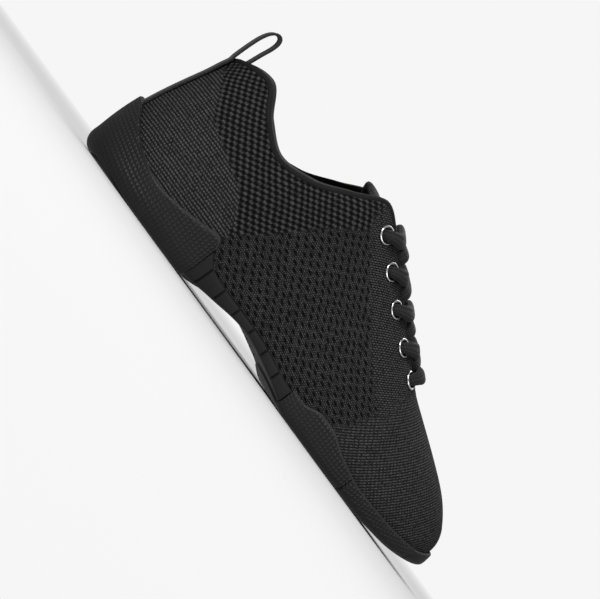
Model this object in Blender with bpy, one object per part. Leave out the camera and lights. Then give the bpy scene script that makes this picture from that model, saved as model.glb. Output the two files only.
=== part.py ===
"""Low knitted dance and cheer training shoe, right foot, standing empty on its split sole.

X runs from heel to toe, +Y is the inner (medial) side and Z is up. The origin is under the middle of the
shoe, on the floor. Tables hold millimetres unless a column says otherwise, and meshes are made in metres.
"""

import math

import bmesh
import bpy
import numpy as np
from mathutils import Vector

MM = 0.001

# Driving sizes of the shoe
LENGTH = 265.0
BALL_WIDTH = 92.0
INSTEP_HEIGHT = 98.0

# Thicknesses and clearances
KNIT_WALL = 2.2
RUBBER_WALL = 2.7
GAP = 0.3
INSOLE_THICKNESS = 3.5
INLAY_DEPTH = 1.6
GROOVE_WIDTH = 1.3
GROOVE_DEPTH = 1.2

LATERAL, MEDIAL = -1, 1

# Outline of the rubber seen from above: x in percent of LENGTH from the heel, y in percent of BALL_WIDTH.
OUTLINE = (
    ("heel back", 0.0, -3.8),
    ("heel lateral turn", 4.0, -26.5),
    ("heel lateral", 13.0, -41.5),
    ("seat lateral", 24.0, -43.0),
    ("waist lateral", 38.0, -41.5),
    ("joint rear lateral", 52.0, -46.5),
    ("joint lateral", 62.0, -50.0),
    ("toe lateral", 76.0, -45.0),
    ("toe lateral turn", 89.2, -32.5),
    ("toe lateral tip", 97.4, -15.5),
    ("toe tip", 100.0, 2.0),
    ("toe medial tip", 98.0, 22.0),
    ("toe medial turn", 91.4, 38.0),
    ("toe medial", 81.5, 47.0),
    ("joint medial", 68.5, 50.0),
    ("joint rear medial", 56.0, 40.5),
    ("waist medial", 41.0, 27.5),
    ("seat medial", 26.0, 31.0),
    ("heel medial", 13.0, 33.5),
    ("heel medial turn", 4.0, 18.5),
)

# Height of the sole's underside and footbed, and the foot's centre line: x in percent of LENGTH.
PROFILE_COLUMNS = ("x", "tread", "bed", "axis")
PROFILE = (
    (0.0, 0.0, 11.5, -3.5),
    (26.0, 0.0, 11.5, -3.5),
    (34.0, 4.0, 11.6, -2.5),
    (42.5, 7.8, 12.0, -1.0),
    (51.5, 4.2, 9.4, 0.5),
    (58.5, 0.0, 7.2, 1.5),
    (77.5, 0.0, 6.6, 2.5),
    (88.0, 2.0, 8.4, 2.5),
    (100.0, 9.0, 14.8, 1.0),
)

# Rounding of the sole's lower edge: across is its width in plan and up its height.
EDGE_COLUMNS = ("x", "across", "up")
EDGE = (
    (0.0, 7.0, 9.0),
    (12.0, 6.0, 9.0),
    (26.0, 6.0, 9.0),
    (42.0, 6.0, 4.0),
    (60.0, 5.0, 8.0),
    (80.0, 5.0, 7.0),
    (100.0, 6.0, 6.0),
)

# Top edge of the rubber above the floor and how far it stands off the knit: x in percent of LENGTH.
RIM_COLUMNS = ("x", "top", "lip")
RIM = (
    (1.0, 35.5, 3.0),
    (3.0, 28.5, 2.8),
    (7.5, 20.0, 2.2),
    (13.0, 16.8, 1.6),
    (17.0, 18.4, 1.6),
    (22.0, 22.0, 1.5),
    (26.5, 25.4, 1.5),
    (28.6, 17.0, 1.2),
    (34.0, 14.6, 1.2),
    (44.0, 14.6, 1.2),
    (54.0, 11.8, 1.2),
    (58.0, 11.6, 1.5),
    (62.0, 15.6, 1.5),
    (65.0, 15.6, 1.5),
    (70.0, 11.8, 1.5),
    (77.0, 9.2, 1.5),
    (88.0, 10.8, 1.5),
    (95.0, 14.0, 1.5),
    (99.0, 19.0, 1.5),
)

# Where a line that starts at a wall's foot meets the spine of the sole, both in percent of LENGTH.
SPINE = (
    (1.0, 11.0),
    (12.0, 17.5),
    (27.6, 33.4),
    (55.5, 51.5),
    (74.4, 78.6),
    (88.0, 86.5),
    (99.0, 92.0),
)

# Ribs of the last, from the foot of the wall to the upper's top edge. foot and top_x are percent of LENGTH,
# half is percent of BALL_WIDTH from the centre line, top_z is percent of INSTEP_HEIGHT. The lower end leaves at
# flare degrees outside upright for rise mm, and the upper end falls at fall degrees below level for reach mm.
RIB_COLUMNS = ("foot", "top_x", "half", "top_z", "flare", "rise", "fall", "reach")
RIBS = (
    ("heel back", 1.14, 4.3, 0.0, 79.6, 4, 24, 80, 22),
    ("heel turn", 4.0, 5.9, 13.0, 83.0, 5, 24, 80, 22),
    ("heel peak", 9.5, 10.0, 23.0, 86.2, 5, 22, 80, 20),
    ("collar fall", 15.5, 15.3, 28.5, 75.5, 4, 20, 80, 16),
    ("collar low", 22.0, 21.7, 31.0, 68.9, 3, 19, 76, 15),
    ("collar rise", 29.0, 28.7, 31.0, 75.5, 3, 19, 68, 16),
    ("collar front", 36.0, 35.0, 28.0, 88.8, 3, 20, 55, 17),
    ("throat top", 41.0, 40.3, 22.5, 99.5, 4, 21, 44, 18),
    ("throat high", 46.0, 44.8, 20.0, 95.4, 4, 22, 38, 18),
    ("throat middle", 57.0, 55.0, 18.0, 80.6, 5, 21, 34, 18),
    ("throat low", 68.5, 66.5, 15.5, 66.0, 6, 19, 28, 17),
    ("throat turn", 73.2, 70.8, 10.5, 61.0, 7, 18, 12, 19),
    ("throat end", 75.2, 72.4, 0.0, 59.8, 7, 18, 0, 24),
    ("vamp", 81.5, 78.0, 0.0, 54.6, 8, 17, 0, 23),
    ("toe box", 90.0, 86.0, 0.0, 46.9, 9, 15, 0, 19),
    ("toe turn", 96.5, 91.5, 0.0, 40.8, 11, 11, 0, 14),
    ("toe tip", 98.86, 93.8, 0.0, 37.2, 13, 9, 0, 11),
)
THROAT_END_FOOT = 75.2
RIDGE_END_FOOT = 98.2
RIB_STEPS = 8
REAR_STATIONS = 25
TOE_STATIONS = 10
STATION_SPACING = 3.0

# Ribbed bridge under the arch
ARCH_RECESS = 1.1
ARCH_END_GAP = 1.4
ARCH_GROOVES = 12
ARCH_GROOVE_SPAN = (30.2, 53.6)
HEEL_PAD_END = 27.6
FOREFOOT_PAD_START = 55.5
FLEX_GROOVE_FOOT = 74.4

# Oval patch and ring groove under the heel: centre x, centre y, half length and half width.
HEEL_PATCH = (-90.4, -3.7, 29.2, 22.7)
HEEL_RING = (-90.4, -4.6, 35.6, 28.6)
OVAL_POWER = 2.4

# Corners of the turning patches under the ball and the big toe: x, y.
BALL_PATCH = ((18.0, 30.5), (12.6, 14.0), (12.0, -4.0), (15.0, -18.0), (23.0, -27.0), (34.0, -30.0),
              (48.0, -28.5), (66.0, -24.5), (71.0, -14.0), (72.5, 2.0), (69.5, 19.0), (64.0, 31.0),
              (56.0, 39.0), (44.0, 40.0), (30.0, 36.5))
TOE_PATCH = ((87.5, 36.0), (88.0, 25.5), (95.5, 11.0), (103.5, -1.5), (109.0, -5.0), (115.0, -1.5),
             (119.0, 7.5), (116.0, 19.0), (106.5, 29.0), (96.0, 35.5))

# Lacing: eyelets along each side, as places of their ribs' feet in percent of LENGTH, and their distance in
# from the throat's edge.
EYELET_FEET = (45.6, 52.2, 58.6, 64.8, 70.6)
EYELET_SETBACK = 7.0
EYELET_FLANGE_RADIUS = 4.6
EYELET_BARREL_RADIUS = 3.5
EYELET_HOLE_RADIUS = 3.0
EYELET_HEIGHT = 0.8
LACE_HALF_WIDTH = 3.5
LACE_HALF_THICKNESS = 1.5
LACE_CLEARANCE = 1.1
LACE_ARCH = 0.33

# Tongue: stations along the throat (x in percent of LENGTH), height of its crown and half width.
TONGUE_THICKNESS = 2.4
TONGUE_DROP = 0.5
TONGUE_COLUMNS = ("x", "crown", "half", "radius")
TONGUE = (
    (36.6, 104.0, 18.0, 30.0),
    (40.3, 100.0, 22.0, 28.0),
    (44.8, 96.0, 21.5, 26.5),
    (55.0, 81.0, 19.8, 25.5),
    (64.0, 69.8, 19.0, 27.0),
    (69.0, 61.7, 16.5, 30.0),
    (71.0, 58.7, 14.5, 31.0),
    (73.0, 54.9, 13.0, 32.0),
    (76.0, 49.5, 11.0, 34.0),
)

# Webbing up the heel seam, folded over the collar into a pull loop: x, z of its middle line.
LOOP_WIDTH = 10.0
LOOP_THICKNESS = 1.2
LOOP_TOP = 103.0
LOOP_BULGE = 5.4
LOOP_LEAN = 2.0

COLOURS = {
    "knit": ((0.016, 0.016, 0.017), 0.9, 0.0),
    "rubber": ((0.026, 0.026, 0.027), 0.55, 0.0),
    "inlay": ((0.022, 0.022, 0.023), 0.5, 0.0),
    "lining": ((0.02, 0.02, 0.021), 0.95, 0.0),
    "lace": ((0.017, 0.017, 0.018), 0.85, 0.0),
    "metal": ((0.75, 0.75, 0.76), 0.25, 1.0),
}


def along(percent):
    """x in mm of a place in percent of the length from the heel."""
    return (np.asarray(percent, float) / 100.0 - 0.5) * LENGTH


def smooth(table_x, table_y, x):
    """Monotone cubic through a table, held level beyond its ends."""
    xs, ys = np.asarray(table_x, float), np.asarray(table_y, float)
    step, slope = np.diff(xs), np.diff(ys) / np.diff(xs)
    tangent = np.concatenate([[slope[0]], np.zeros(len(xs) - 2), [slope[-1]]])
    for i in range(1, len(xs) - 1):
        if slope[i - 1] * slope[i] > 0:
            before, after = 2 * step[i] + step[i - 1], step[i] + 2 * step[i - 1]
            tangent[i] = (before + after) / (before / slope[i - 1] + after / slope[i])
    x = np.clip(x, xs[0], xs[-1])
    i = np.clip(np.searchsorted(xs, x, side="right") - 1, 0, len(xs) - 2)
    t = (x - xs[i]) / step[i]
    return (
        ys[i] * (1 + 2 * t) * (1 - t) ** 2
        + ys[i + 1] * t * t * (3 - 2 * t)
        + step[i] * (tangent[i] * t * (1 - t) ** 2 + tangent[i + 1] * t * t * (t - 1))
    )


def column(table, columns, name, x):
    """One column of a table whose first column is a percent of LENGTH, read at x in mm."""
    rows = np.array(table, float)
    return smooth(along(rows[:, 0]), rows[:, columns.index(name)], x)


def tread(x):
    return column(PROFILE, PROFILE_COLUMNS, "tread", x)


def bed(x):
    return column(PROFILE, PROFILE_COLUMNS, "bed", x)


def axis(x):
    return column(PROFILE, PROFILE_COLUMNS, "axis", x)


def closed_curve(points, count):
    """count points of the periodic cubic spline through the given ones, evenly spread by chord."""
    p = np.array(points, float)
    n = len(p)
    chord = np.linalg.norm(np.roll(p, -1, 0) - p, axis=1)
    matrix, right = np.zeros((n, n)), np.zeros(p.shape)
    for i in range(n):
        before, after, following = chord[i - 1], chord[i], (i + 1) % n
        matrix[i, i - 1] += before
        matrix[i, i] += 2 * (before + after)
        matrix[i, following] += after
        right[i] = 6 * ((p[following] - p[i]) / after - (p[i] - p[i - 1]) / before)
    bend = np.linalg.solve(matrix, right)
    knots = np.concatenate([[0], np.cumsum(chord)])
    s = np.linspace(0, knots[-1], count, endpoint=False)
    i = np.searchsorted(knots, s, side="right") - 1
    following = (i + 1) % n
    h, a = chord[i][:, None], ((knots[i + 1] - s) / chord[i])[:, None]
    b = 1 - a
    return (
        a * p[i] + b * p[following]
        + ((a**3 - a) * bend[i] + (b**3 - b) * bend[following]) * h * h / 6
    )


def outline_sides(inset):
    """For each side, points and outward normals in plan from heel to toe, inset from the rubber's outline."""
    rows = [(float(along(x)), y / 100 * BALL_WIDTH) for _, x, y in OUTLINE]
    curve = closed_curve(rows, 1600)
    tangent = np.roll(curve, -1, 0) - np.roll(curve, 1, 0)
    tangent /= np.linalg.norm(tangent, axis=1)[:, None]
    normal = np.stack([tangent[:, 1], -tangent[:, 0]], axis=1)
    inner = curve - inset * normal
    heel, toe = int(inner[:, 0].argmin()), int(inner[:, 0].argmax())
    count = len(inner)
    lateral = np.arange(heel, toe + 1 if toe > heel else toe + count + 1) % count
    medial = np.arange(heel if heel > toe else heel + count, toe - 1, -1) % count
    return {side: (inner[i], normal[i]) for side, i in ((LATERAL, lateral), (MEDIAL, medial))}


FEET = outline_sides(GAP + RUBBER_WALL)


def foot_of(side, x, feet=FEET):
    """Point and outward normal in plan where the upper's wall stands, at this x."""
    points, normals = feet[side]
    order = np.maximum.accumulate(points[:, 0] + np.arange(len(points)) * 1e-9)
    point = [x, np.interp(x, order, points[:, 1])]
    normal = np.array([np.interp(x, order, normals[:, i]) for i in (0, 1)])
    return np.array(point), normal / np.linalg.norm(normal)


def rib_value(name, x):
    rows = np.array([row[1:] for row in RIBS], float)
    return float(smooth(along(rows[:, 0]), rows[:, RIB_COLUMNS.index(name)], x))


def rib(side, x):
    """The four control points of the last's rib whose foot is at this x."""
    point, normal = foot_of(side, x)
    outward = np.array([*normal, 0.0])
    foot = np.array([*point, float(bed(x)) + GAP])
    top_x = float(along(rib_value("top_x", x)))
    half = rib_value("half", x) / 100 * BALL_WIDTH
    top = np.array([top_x, float(axis(top_x)) + side * half, rib_value("top_z", x) / 100 * INSTEP_HEIGHT])
    flare, fall = math.radians(rib_value("flare", x)), math.radians(rib_value("fall", x))
    leave = outward * math.sin(flare) + np.array([0, 0, math.cos(flare)])
    arrive = outward * math.cos(fall) - np.array([0, 0, math.sin(fall)])
    if x >= along(THROAT_END_FOOT):
        here = min(x, float(along(RIDGE_END_FOOT)))
        ahead = here + 1.0
        run = (rib_value("top_x", ahead) - rib_value("top_x", here)) / 100 * LENGTH
        climb = (rib_value("top_z", ahead) - rib_value("top_z", here)) / 100 * INSTEP_HEIGHT
        arrive[2] += outward[0] * climb / run
    return np.array([foot, foot + rib_value("rise", x) * leave, top + rib_value("reach", x) * arrive, top])


def on_rib(controls, t):
    a, b, c, d = controls
    u = 1 - t
    return a * u**3 + 3 * b * u * u * t + 3 * c * u * t * t + d * t**3


def at_height(controls, z):
    """The point of a rib at this height, in its lower half."""
    steps = np.linspace(0, 0.7, 40)
    points = np.array([on_rib(controls, t) for t in steps])
    return on_rib(controls, float(np.interp(z, points[:, 2], steps)))


def surface(side, x, t):
    """Point and outward unit normal of the upper at rib foot x and share t of the way up."""
    step = 0.3
    point = on_rib(rib(side, x), t)
    forward = on_rib(rib(side, x + step), t) - on_rib(rib(side, x - step), t)
    upward = on_rib(rib(side, x), min(t + 0.01, 1)) - on_rib(rib(side, x), t - 0.01)
    normal = np.cross(forward, upward) * -side
    return point, normal / np.linalg.norm(normal)


def wall_stations():
    """x of the ribs' feet from heel to toe, in even steps along the outline on each side of the throat's end."""
    points = FEET[LATERAL][0]
    length = np.concatenate([[0], np.cumsum(np.linalg.norm(np.diff(points, axis=0), axis=1))])
    throat_end = float(np.interp(along(THROAT_END_FOOT), points[:, 0], length))
    rear = np.linspace(0, throat_end, REAR_STATIONS, endpoint=False)
    toe = np.linspace(throat_end, length[-1], TOE_STATIONS)
    return [float(x) for x in np.interp([*rear, *toe], length, points[:, 0])]


def new_object(name, vertices, faces, material):
    """A named object from points in mm, with doubled points merged and its faces turned outwards."""
    mesh = bpy.data.meshes.new(name)
    work = bmesh.new()
    made = [work.verts.new(Vector(v) * MM) for v in vertices]
    for face in faces:
        corners = [made[i] for i in face]
        work.faces.new(corners)
    bmesh.ops.remove_doubles(work, verts=work.verts, dist=0.00002)
    bmesh.ops.dissolve_degenerate(work, edges=work.edges, dist=0.00001)
    bmesh.ops.recalc_face_normals(work, faces=work.faces)
    work.to_mesh(mesh)
    work.free()
    mesh.shade_smooth()
    mesh.set_sharp_from_angle(angle=math.radians(40))
    obj = bpy.data.objects.new(name, mesh)
    bpy.context.scene.collection.objects.link(obj)
    obj.parent = SHOE
    if material:
        mesh.materials.append(MATERIALS[material])
    else:
        obj.hide_render, obj.display_type = True, "WIRE"
    return obj


def grid_faces(rows, columns, first=0):
    """Quads of a grid of points numbered row by row."""
    return [
        (first + r * columns + c, first + r * columns + c + 1,
         first + (r + 1) * columns + c + 1, first + (r + 1) * columns + c)
        for r in range(rows - 1)
        for c in range(columns - 1)
    ]


def cut(obj, cutter, operation="DIFFERENCE"):
    modifier = obj.modifiers.new(f"{operation.lower()} {cutter.name}", "BOOLEAN")
    modifier.operation, modifier.object = operation, cutter


def make_materials():
    made = {}
    for name, (colour, roughness, metallic) in COLOURS.items():
        material = bpy.data.materials.new(name)
        material.use_nodes = True
        shader = material.node_tree.nodes["Principled BSDF"]
        shader.inputs["Base Color"].default_value = (*colour, 1)
        shader.inputs["Roughness"].default_value = roughness
        shader.inputs["Metallic"].default_value = metallic
        made[name] = material
    return made


def upper():
    """The knitted upper: one wall, open at collar and throat and underneath, with the eyelets' holes cut."""
    stations = wall_stations()
    shares = np.linspace(0, 1, RIB_STEPS + 1)
    vertices, faces = [], []
    for side in (LATERAL, MEDIAL):
        first = len(vertices)
        for x in stations:
            controls = rib(side, x)
            vertices += [on_rib(controls, t) for t in shares]
        faces += grid_faces(len(stations), len(shares), first)
    obj = new_object("upper", vertices, faces, "knit")
    wall = obj.modifiers.new("knit wall", "SOLIDIFY")
    wall.thickness, wall.offset = KNIT_WALL * MM, -1
    for side, number, point, normal in eyelet_places():
        hole = cylinder(f"hole_{side}_{number}", point, normal, EYELET_BARREL_RADIUS + GAP, 4 * KNIT_WALL)
        cut(obj, hole)
    return obj


def turned(profile, point, normal, sides):
    """Points and faces of a closed profile of (radius, height) turned about a normal at a point."""
    turn = Vector((0, 0, 1)).rotation_difference(Vector(normal)).to_matrix()
    vertices = []
    for i in range(sides):
        angle = 2 * math.pi * i / sides
        for radius, height in profile:
            local = Vector((radius * math.cos(angle), radius * math.sin(angle), height))
            vertices.append(Vector(point) + turn @ local)
    count = len(profile)
    faces = [
        (i * count + j, i * count + (j + 1) % count,
         (i + 1) % sides * count + (j + 1) % count, (i + 1) % sides * count + j)
        for i in range(sides)
        for j in range(count)
    ]
    return vertices, faces


def cylinder(name, point, normal, radius, height, sides=12):
    """A hidden cutter along a normal, centred on a point."""
    turn = Vector((0, 0, 1)).rotation_difference(Vector(normal)).to_matrix()
    ring = [(radius * math.cos(a), radius * math.sin(a)) for a in np.arange(sides) * 2 * math.pi / sides]
    vertices = [Vector(point) + turn @ Vector((x, y, z)) for z in (-height / 2, height / 2) for x, y in ring]
    faces = [(i, (i + 1) % sides, sides + (i + 1) % sides, sides + i) for i in range(sides)]
    faces += [tuple(range(sides - 1, -1, -1)), tuple(range(sides, 2 * sides))]
    return new_object(name, vertices, faces, None)


def eyelet_places():
    """(side name, number from the top, point, normal) of each eyelet on the upper's outside."""
    places = []
    for side, side_name in ((LATERAL, "lateral"), (MEDIAL, "medial")):
        for number, percent in enumerate(EYELET_FEET, 1):
            x = float(along(percent))
            controls = rib(side, x)
            shares = np.linspace(0.6, 1, 60)
            points = np.array([on_rib(controls, t) for t in shares])
            to_edge = np.linalg.norm(points - points[-1], axis=1)
            t = float(np.interp(-EYELET_SETBACK, -to_edge, shares))
            places.append((side_name, number, *surface(side, x, t)))
    return places


def eyelets():
    barrel_end = -(KNIT_WALL - 2 * GAP)
    profile = (
        (EYELET_HOLE_RADIUS, barrel_end),
        (EYELET_BARREL_RADIUS, barrel_end),
        (EYELET_BARREL_RADIUS, GAP),
        (EYELET_FLANGE_RADIUS, GAP),
        (EYELET_FLANGE_RADIUS - 0.5, GAP + EYELET_HEIGHT),
        (EYELET_HOLE_RADIUS + 0.4, GAP + EYELET_HEIGHT),
    )
    for side_name, number, point, normal in eyelet_places():
        vertices, faces = turned(profile, point, normal, 10)
        new_object(f"eyelet_{side_name}_{number}", vertices, faces, "metal")


def spine_of(x):
    table = np.array(SPINE, float)
    return float(smooth(along(table[:, 0]), along(table[:, 1]), x))


def sole_section(side, x, recess=0.0, groove=0.0):
    """Upper and lower chains of one side's section, each from the spine out to the rim."""
    controls = rib(side, x)
    point, normal = foot_of(side, x)
    outward = np.array([*normal, 0.0])
    spine_x = spine_of(x)
    spine = np.array([spine_x, float(axis(spine_x))])
    rim_z = float(column(RIM, RIM_COLUMNS, "top", x)) - recess
    lip = float(column(RIM, RIM_COLUMNS, "lip", x))
    floor_z = float(bed(x))

    def plan(edge, share):
        """A place between the spine and an edge point, on a line that bows along the foot."""
        return spine + (edge - spine) * np.array([share**2, share])

    upper_chain = []
    bed_edge = point + GAP * normal
    for share in (0.0, 0.35, 0.7, 1.0):
        place = plan(bed_edge, share)
        upper_chain.append((*place, float(bed(place[0]))))
    for share in (0.33, 0.67, 1.0):
        inner = at_height(controls, floor_z + (rim_z - floor_z) * share) + GAP * outward
        upper_chain.append(tuple(inner))

    lower_chain = []
    depth = recess + groove
    wall = point + (GAP + RUBBER_WALL) * normal
    across = float(column(EDGE, EDGE_COLUMNS, "across", x))
    for share in (0.0, 0.5):
        place = plan(wall - across * normal, share)
        lower_chain.append((*place, float(tread(place[0])) + depth))
    low = float(tread(x)) + depth
    up = min(float(column(EDGE, EDGE_COLUMNS, "up", x)), 0.75 * (floor_z - low))
    for angle in (90, 45, 0):
        turn = math.radians(angle)
        place = wall - (across + (depth - across) * math.cos(turn)) * normal
        low_here = float(tread(place[0])) + depth
        lower_chain.append((*place, low_here + up * (1 - math.sin(turn))))
    middle = at_height(controls, (floor_z + rim_z) / 2)
    lower_chain.append(tuple(middle + (GAP + (lip + RUBBER_WALL) / 2 - depth * 0.6) * outward))
    rim = at_height(controls, rim_z)
    lower_chain.append(tuple(rim + (GAP + lip - depth * 0.3) * outward))
    return upper_chain, lower_chain


def sole_piece(name, stations, material, recess=0.0, depths=None, closed_heel=False, closed_toe=False):
    """A length of the sole lofted through its stations, with an end wall where it meets the next length."""
    depths = depths or {}
    vertices, faces = [], []
    for side in (LATERAL, MEDIAL):
        first = len(vertices)
        for x in stations:
            inner, outer = sole_section(side, x, recess, depths.get((side, x), 0.0))
            vertices += [*inner, *outer[::-1]]
        count = len(inner)
        faces += grid_faces(len(stations), 2 * count, first)
        ends = [(0, closed_heel), (len(stations) - 1, closed_toe)]
        for row, rounded in ends:
            if rounded:
                continue
            start = first + row * 2 * count
            last = start + 2 * count - 1
            for j in range(count - 1):
                faces += [(start + j, start + j + 1, last - j - 1), (start + j, last - j - 1, last - j)]
    return new_object(name, vertices, faces, material)


def groove_stations(places, width):
    """Three stations for each groove: its two lips and its floor."""
    return [x + offset for x in places for offset in (-width / 2, 0, width / 2)]


def heel_pad():
    end = float(along(HEEL_PAD_END))
    stations = [x for x in wall_stations() if x < end - STATION_SPACING] + [end]
    pad = sole_piece("heel_pad", stations, "rubber", closed_heel=True)
    cut(pad, inlay("heel_pocket", oval(HEEL_PATCH), GAP, INLAY_DEPTH + GAP, None, below=3))
    ring_x, ring_y, length, width = HEEL_RING
    outer, inner = oval(HEEL_RING), oval((ring_x, ring_y, length - GROOVE_WIDTH, width - GROOVE_WIDTH))
    cut(pad, ring_cutter("heel_ring_groove", outer, inner, GROOVE_DEPTH))
    return pad


def arch_bridge():
    """The ribbed bridge: grooves run right across it, and fade out on the lateral flank."""
    low, high = float(along(HEEL_PAD_END)) + ARCH_END_GAP, float(along(FOREFOOT_PAD_START)) - ARCH_END_GAP
    places = np.linspace(*along(ARCH_GROOVE_SPAN), ARCH_GROOVES)
    grooved = groove_stations(places, GROOVE_WIDTH)
    depths = {}
    for i, x in enumerate(grooved):
        if i % 3 == 1:
            depths[(MEDIAL, x)] = GROOVE_DEPTH
            depths[(LATERAL, x)] = GROOVE_DEPTH
    return sole_piece("arch_bridge", [low, *grooved, high], "rubber", ARCH_RECESS, depths)


def forefoot_pad():
    start, flex = float(along(FOREFOOT_PAD_START)), float(along(FLEX_GROOVE_FOOT))
    grooved = groove_stations([flex], GROOVE_WIDTH)
    others = [
        x for x in wall_stations()
        if x > start + STATION_SPACING and abs(x - flex) > GROOVE_WIDTH
    ]
    depths = {(side, flex): GROOVE_DEPTH for side in (LATERAL, MEDIAL)}
    stations = sorted([start, *grooved, *others])
    pad = sole_piece("forefoot_pad", stations, "rubber", depths=depths, closed_toe=True)
    cut(pad, inlay("ball_pocket", patch_outline(BALL_PATCH), GAP, INLAY_DEPTH + GAP, None, below=3))
    cut(pad, inlay("toe_pocket", patch_outline(TOE_PATCH), GAP, INLAY_DEPTH + GAP, None, below=3))
    return pad


def oval(sizes, count=36):
    """Points of a squarish oval, anticlockwise."""
    centre_x, centre_y, half_length, half_width = sizes
    points = []
    for i in range(count):
        c, s = math.cos(2 * math.pi * i / count), math.sin(2 * math.pi * i / count)
        x = math.copysign(abs(c) ** (2 / OVAL_POWER), c)
        y = math.copysign(abs(s) ** (2 / OVAL_POWER), s)
        points.append((centre_x + half_length * x, centre_y + half_width * y))
    return np.array(points)


def patch_outline(corners, count=36):
    return closed_curve(corners, count)


def grown(outline, by):
    """A closed outline moved outwards from its centre."""
    centre = outline.mean(0)
    ray = outline - centre
    return outline + by * ray / np.linalg.norm(ray, axis=1)[:, None]


def inlay(name, outline, grow, depth, material, below=0.0):
    """A patch set into the tread: its lower face is the tread's own, or lies below it for a cutter."""
    outline = grown(outline, grow)
    centre = outline.mean(0)
    shares = (1.0,) if np.ptp(tread(outline[:, 0])) < GAP else (1.0, 0.5)
    count = len(outline)
    vertices = []
    for face in (0, 1):
        for share in shares:
            for x, y in centre + (outline - centre) * share:
                vertices.append((x, y, float(tread(x)) + (depth if face else -below)))
        vertices.append((*centre, float(tread(centre[0])) + (depth if face else -below)))
    faces = []
    per_face = len(shares) * count + 1
    for face in (0, 1):
        first = face * per_face
        for ring in range(len(shares) - 1):
            for i in range(count):
                a, b = first + ring * count + i, first + ring * count + (i + 1) % count
                faces.append((a, b, b + count, a + count))
        hub = first + per_face - 1
        last = first + (len(shares) - 1) * count
        faces += [(last + i, last + (i + 1) % count, hub) for i in range(count)]
    faces += [(i, (i + 1) % count, per_face + (i + 1) % count, per_face + i) for i in range(count)]
    return new_object(name, vertices, faces, material)


def ring_cutter(name, outer, inner, depth):
    count, low = len(outer), -3.0
    vertices = [(*p, z) for z in (low, depth) for loop in (outer, inner) for p in loop]
    faces = []
    for i in range(count):
        j = (i + 1) % count
        faces += [
            (i, j, count + j, count + i),
            (2 * count + i, 2 * count + j, 3 * count + j, 3 * count + i),
            (i, j, 2 * count + j, 2 * count + i),
            (count + i, count + j, 3 * count + j, 3 * count + i),
        ]
    return new_object(name, vertices, faces, None)


def insole():
    """The sock liner on the footbed, inside the upper's wall."""
    clearance = 0.8
    feet = outline_sides(GAP + RUBBER_WALL + KNIT_WALL + clearance)
    heel, toe = feet[LATERAL][0][0, 0], feet[LATERAL][0][-1, 0]
    walls = wall_stations()
    stations = np.interp(walls, (walls[0], walls[-1]), (heel, toe))
    vertices, faces = [], []
    for side in (LATERAL, MEDIAL):
        first = len(vertices)
        for x in stations:
            edge = foot_of(side, x, feet)[0]
            spine_x = spine_of(x)
            spine = np.array([spine_x, float(axis(spine_x))])
            lower = [(*p, float(bed(p[0])) + GAP) for p in (spine, edge)]
            top = [(x, y, z + INSOLE_THICKNESS) for x, y, z in lower]
            vertices += [*lower, *top[::-1]]
        faces += grid_faces(len(stations), 4, first)
    return new_object("insole", vertices, faces, "lining")


def tongue():
    """The tongue: an arched sheet under the throat, its edges tucked beneath the upper."""
    across = np.linspace(-1, 1, 9)
    rows = np.array(TONGUE, float)
    places = np.linspace(along(rows[0, 0]), along(rows[-1, 0]), 14)
    vertices, count = [], len(across)
    for x in places:
        crown, half, radius = (float(column(TONGUE, TONGUE_COLUMNS, c, x)) for c in TONGUE_COLUMNS[1:])
        crown = crown / 100 * INSTEP_HEIGHT - TONGUE_DROP
        for inward in (0.0, TONGUE_THICKNESS):
            bend = radius - inward
            for share in across:
                angle = math.asin(half / radius) * share
                y = float(axis(x)) + bend * math.sin(angle)
                vertices.append((x, y, crown - inward - bend * (1 - math.cos(angle))))
    faces = []
    for i in range(len(places) - 1):
        a, b = i * 2 * count, (i + 1) * 2 * count
        for j in range(count - 1):
            faces.append((a + j, a + j + 1, b + j + 1, b + j))
            faces.append((a + count + j, a + count + j + 1, b + count + j + 1, b + count + j))
        for edge in (0, count - 1):
            faces.append((a + edge, a + count + edge, b + count + edge, b + edge))
    for i in (0, len(places) - 1):
        a = i * 2 * count
        faces += [(a + j, a + j + 1, a + count + j + 1, a + count + j) for j in range(count - 1)]
    return new_object("tongue", vertices, faces, "knit")


def lace_path(start, end, lift):
    """Points of one lace run between two eyelets, arched over the throat."""
    (p, n), (q, m) = start, end
    p, q = p + n * lift, q + m * lift
    run = q - p
    ends = []
    for normal, towards in ((n, run), (m, -run)):
        flat = towards - normal * np.dot(towards, normal)
        ends.append(flat / np.linalg.norm(flat) * np.linalg.norm(run) * LACE_ARCH)
    controls = np.array([p, p + ends[0], q + ends[1], q])
    shares = np.linspace(0, 1, 6)
    return [(on_rib(controls, t), n * (1 - t) + m * t) for t in shares]


def lace():
    """The lace's crossings as one solid: runs from each eyelet to the next one on the other side."""
    by_place = {(side, number): (point, normal) for side, number, point, normal in eyelet_places()}
    lift = 2 * GAP + EYELET_HEIGHT + LACE_HALF_THICKNESS + LACE_CLEARANCE
    last = len(EYELET_FEET)
    runs = [(("lateral", last), ("medial", last))]
    for number in range(1, last):
        runs.append((("lateral", number), ("medial", number + 1)))
        runs.append((("medial", number), ("lateral", number + 1)))
    pieces = []
    for i, (start, end) in enumerate(runs):
        path = lace_path(by_place[start], by_place[end], lift)
        pieces.append(flat_tube(f"lace_run_{i}" if i else "lace", path, "lace" if i == 0 else None))
    for run in pieces[1:]:
        cut(pieces[0], run, "UNION")
    return pieces[0]


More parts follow.
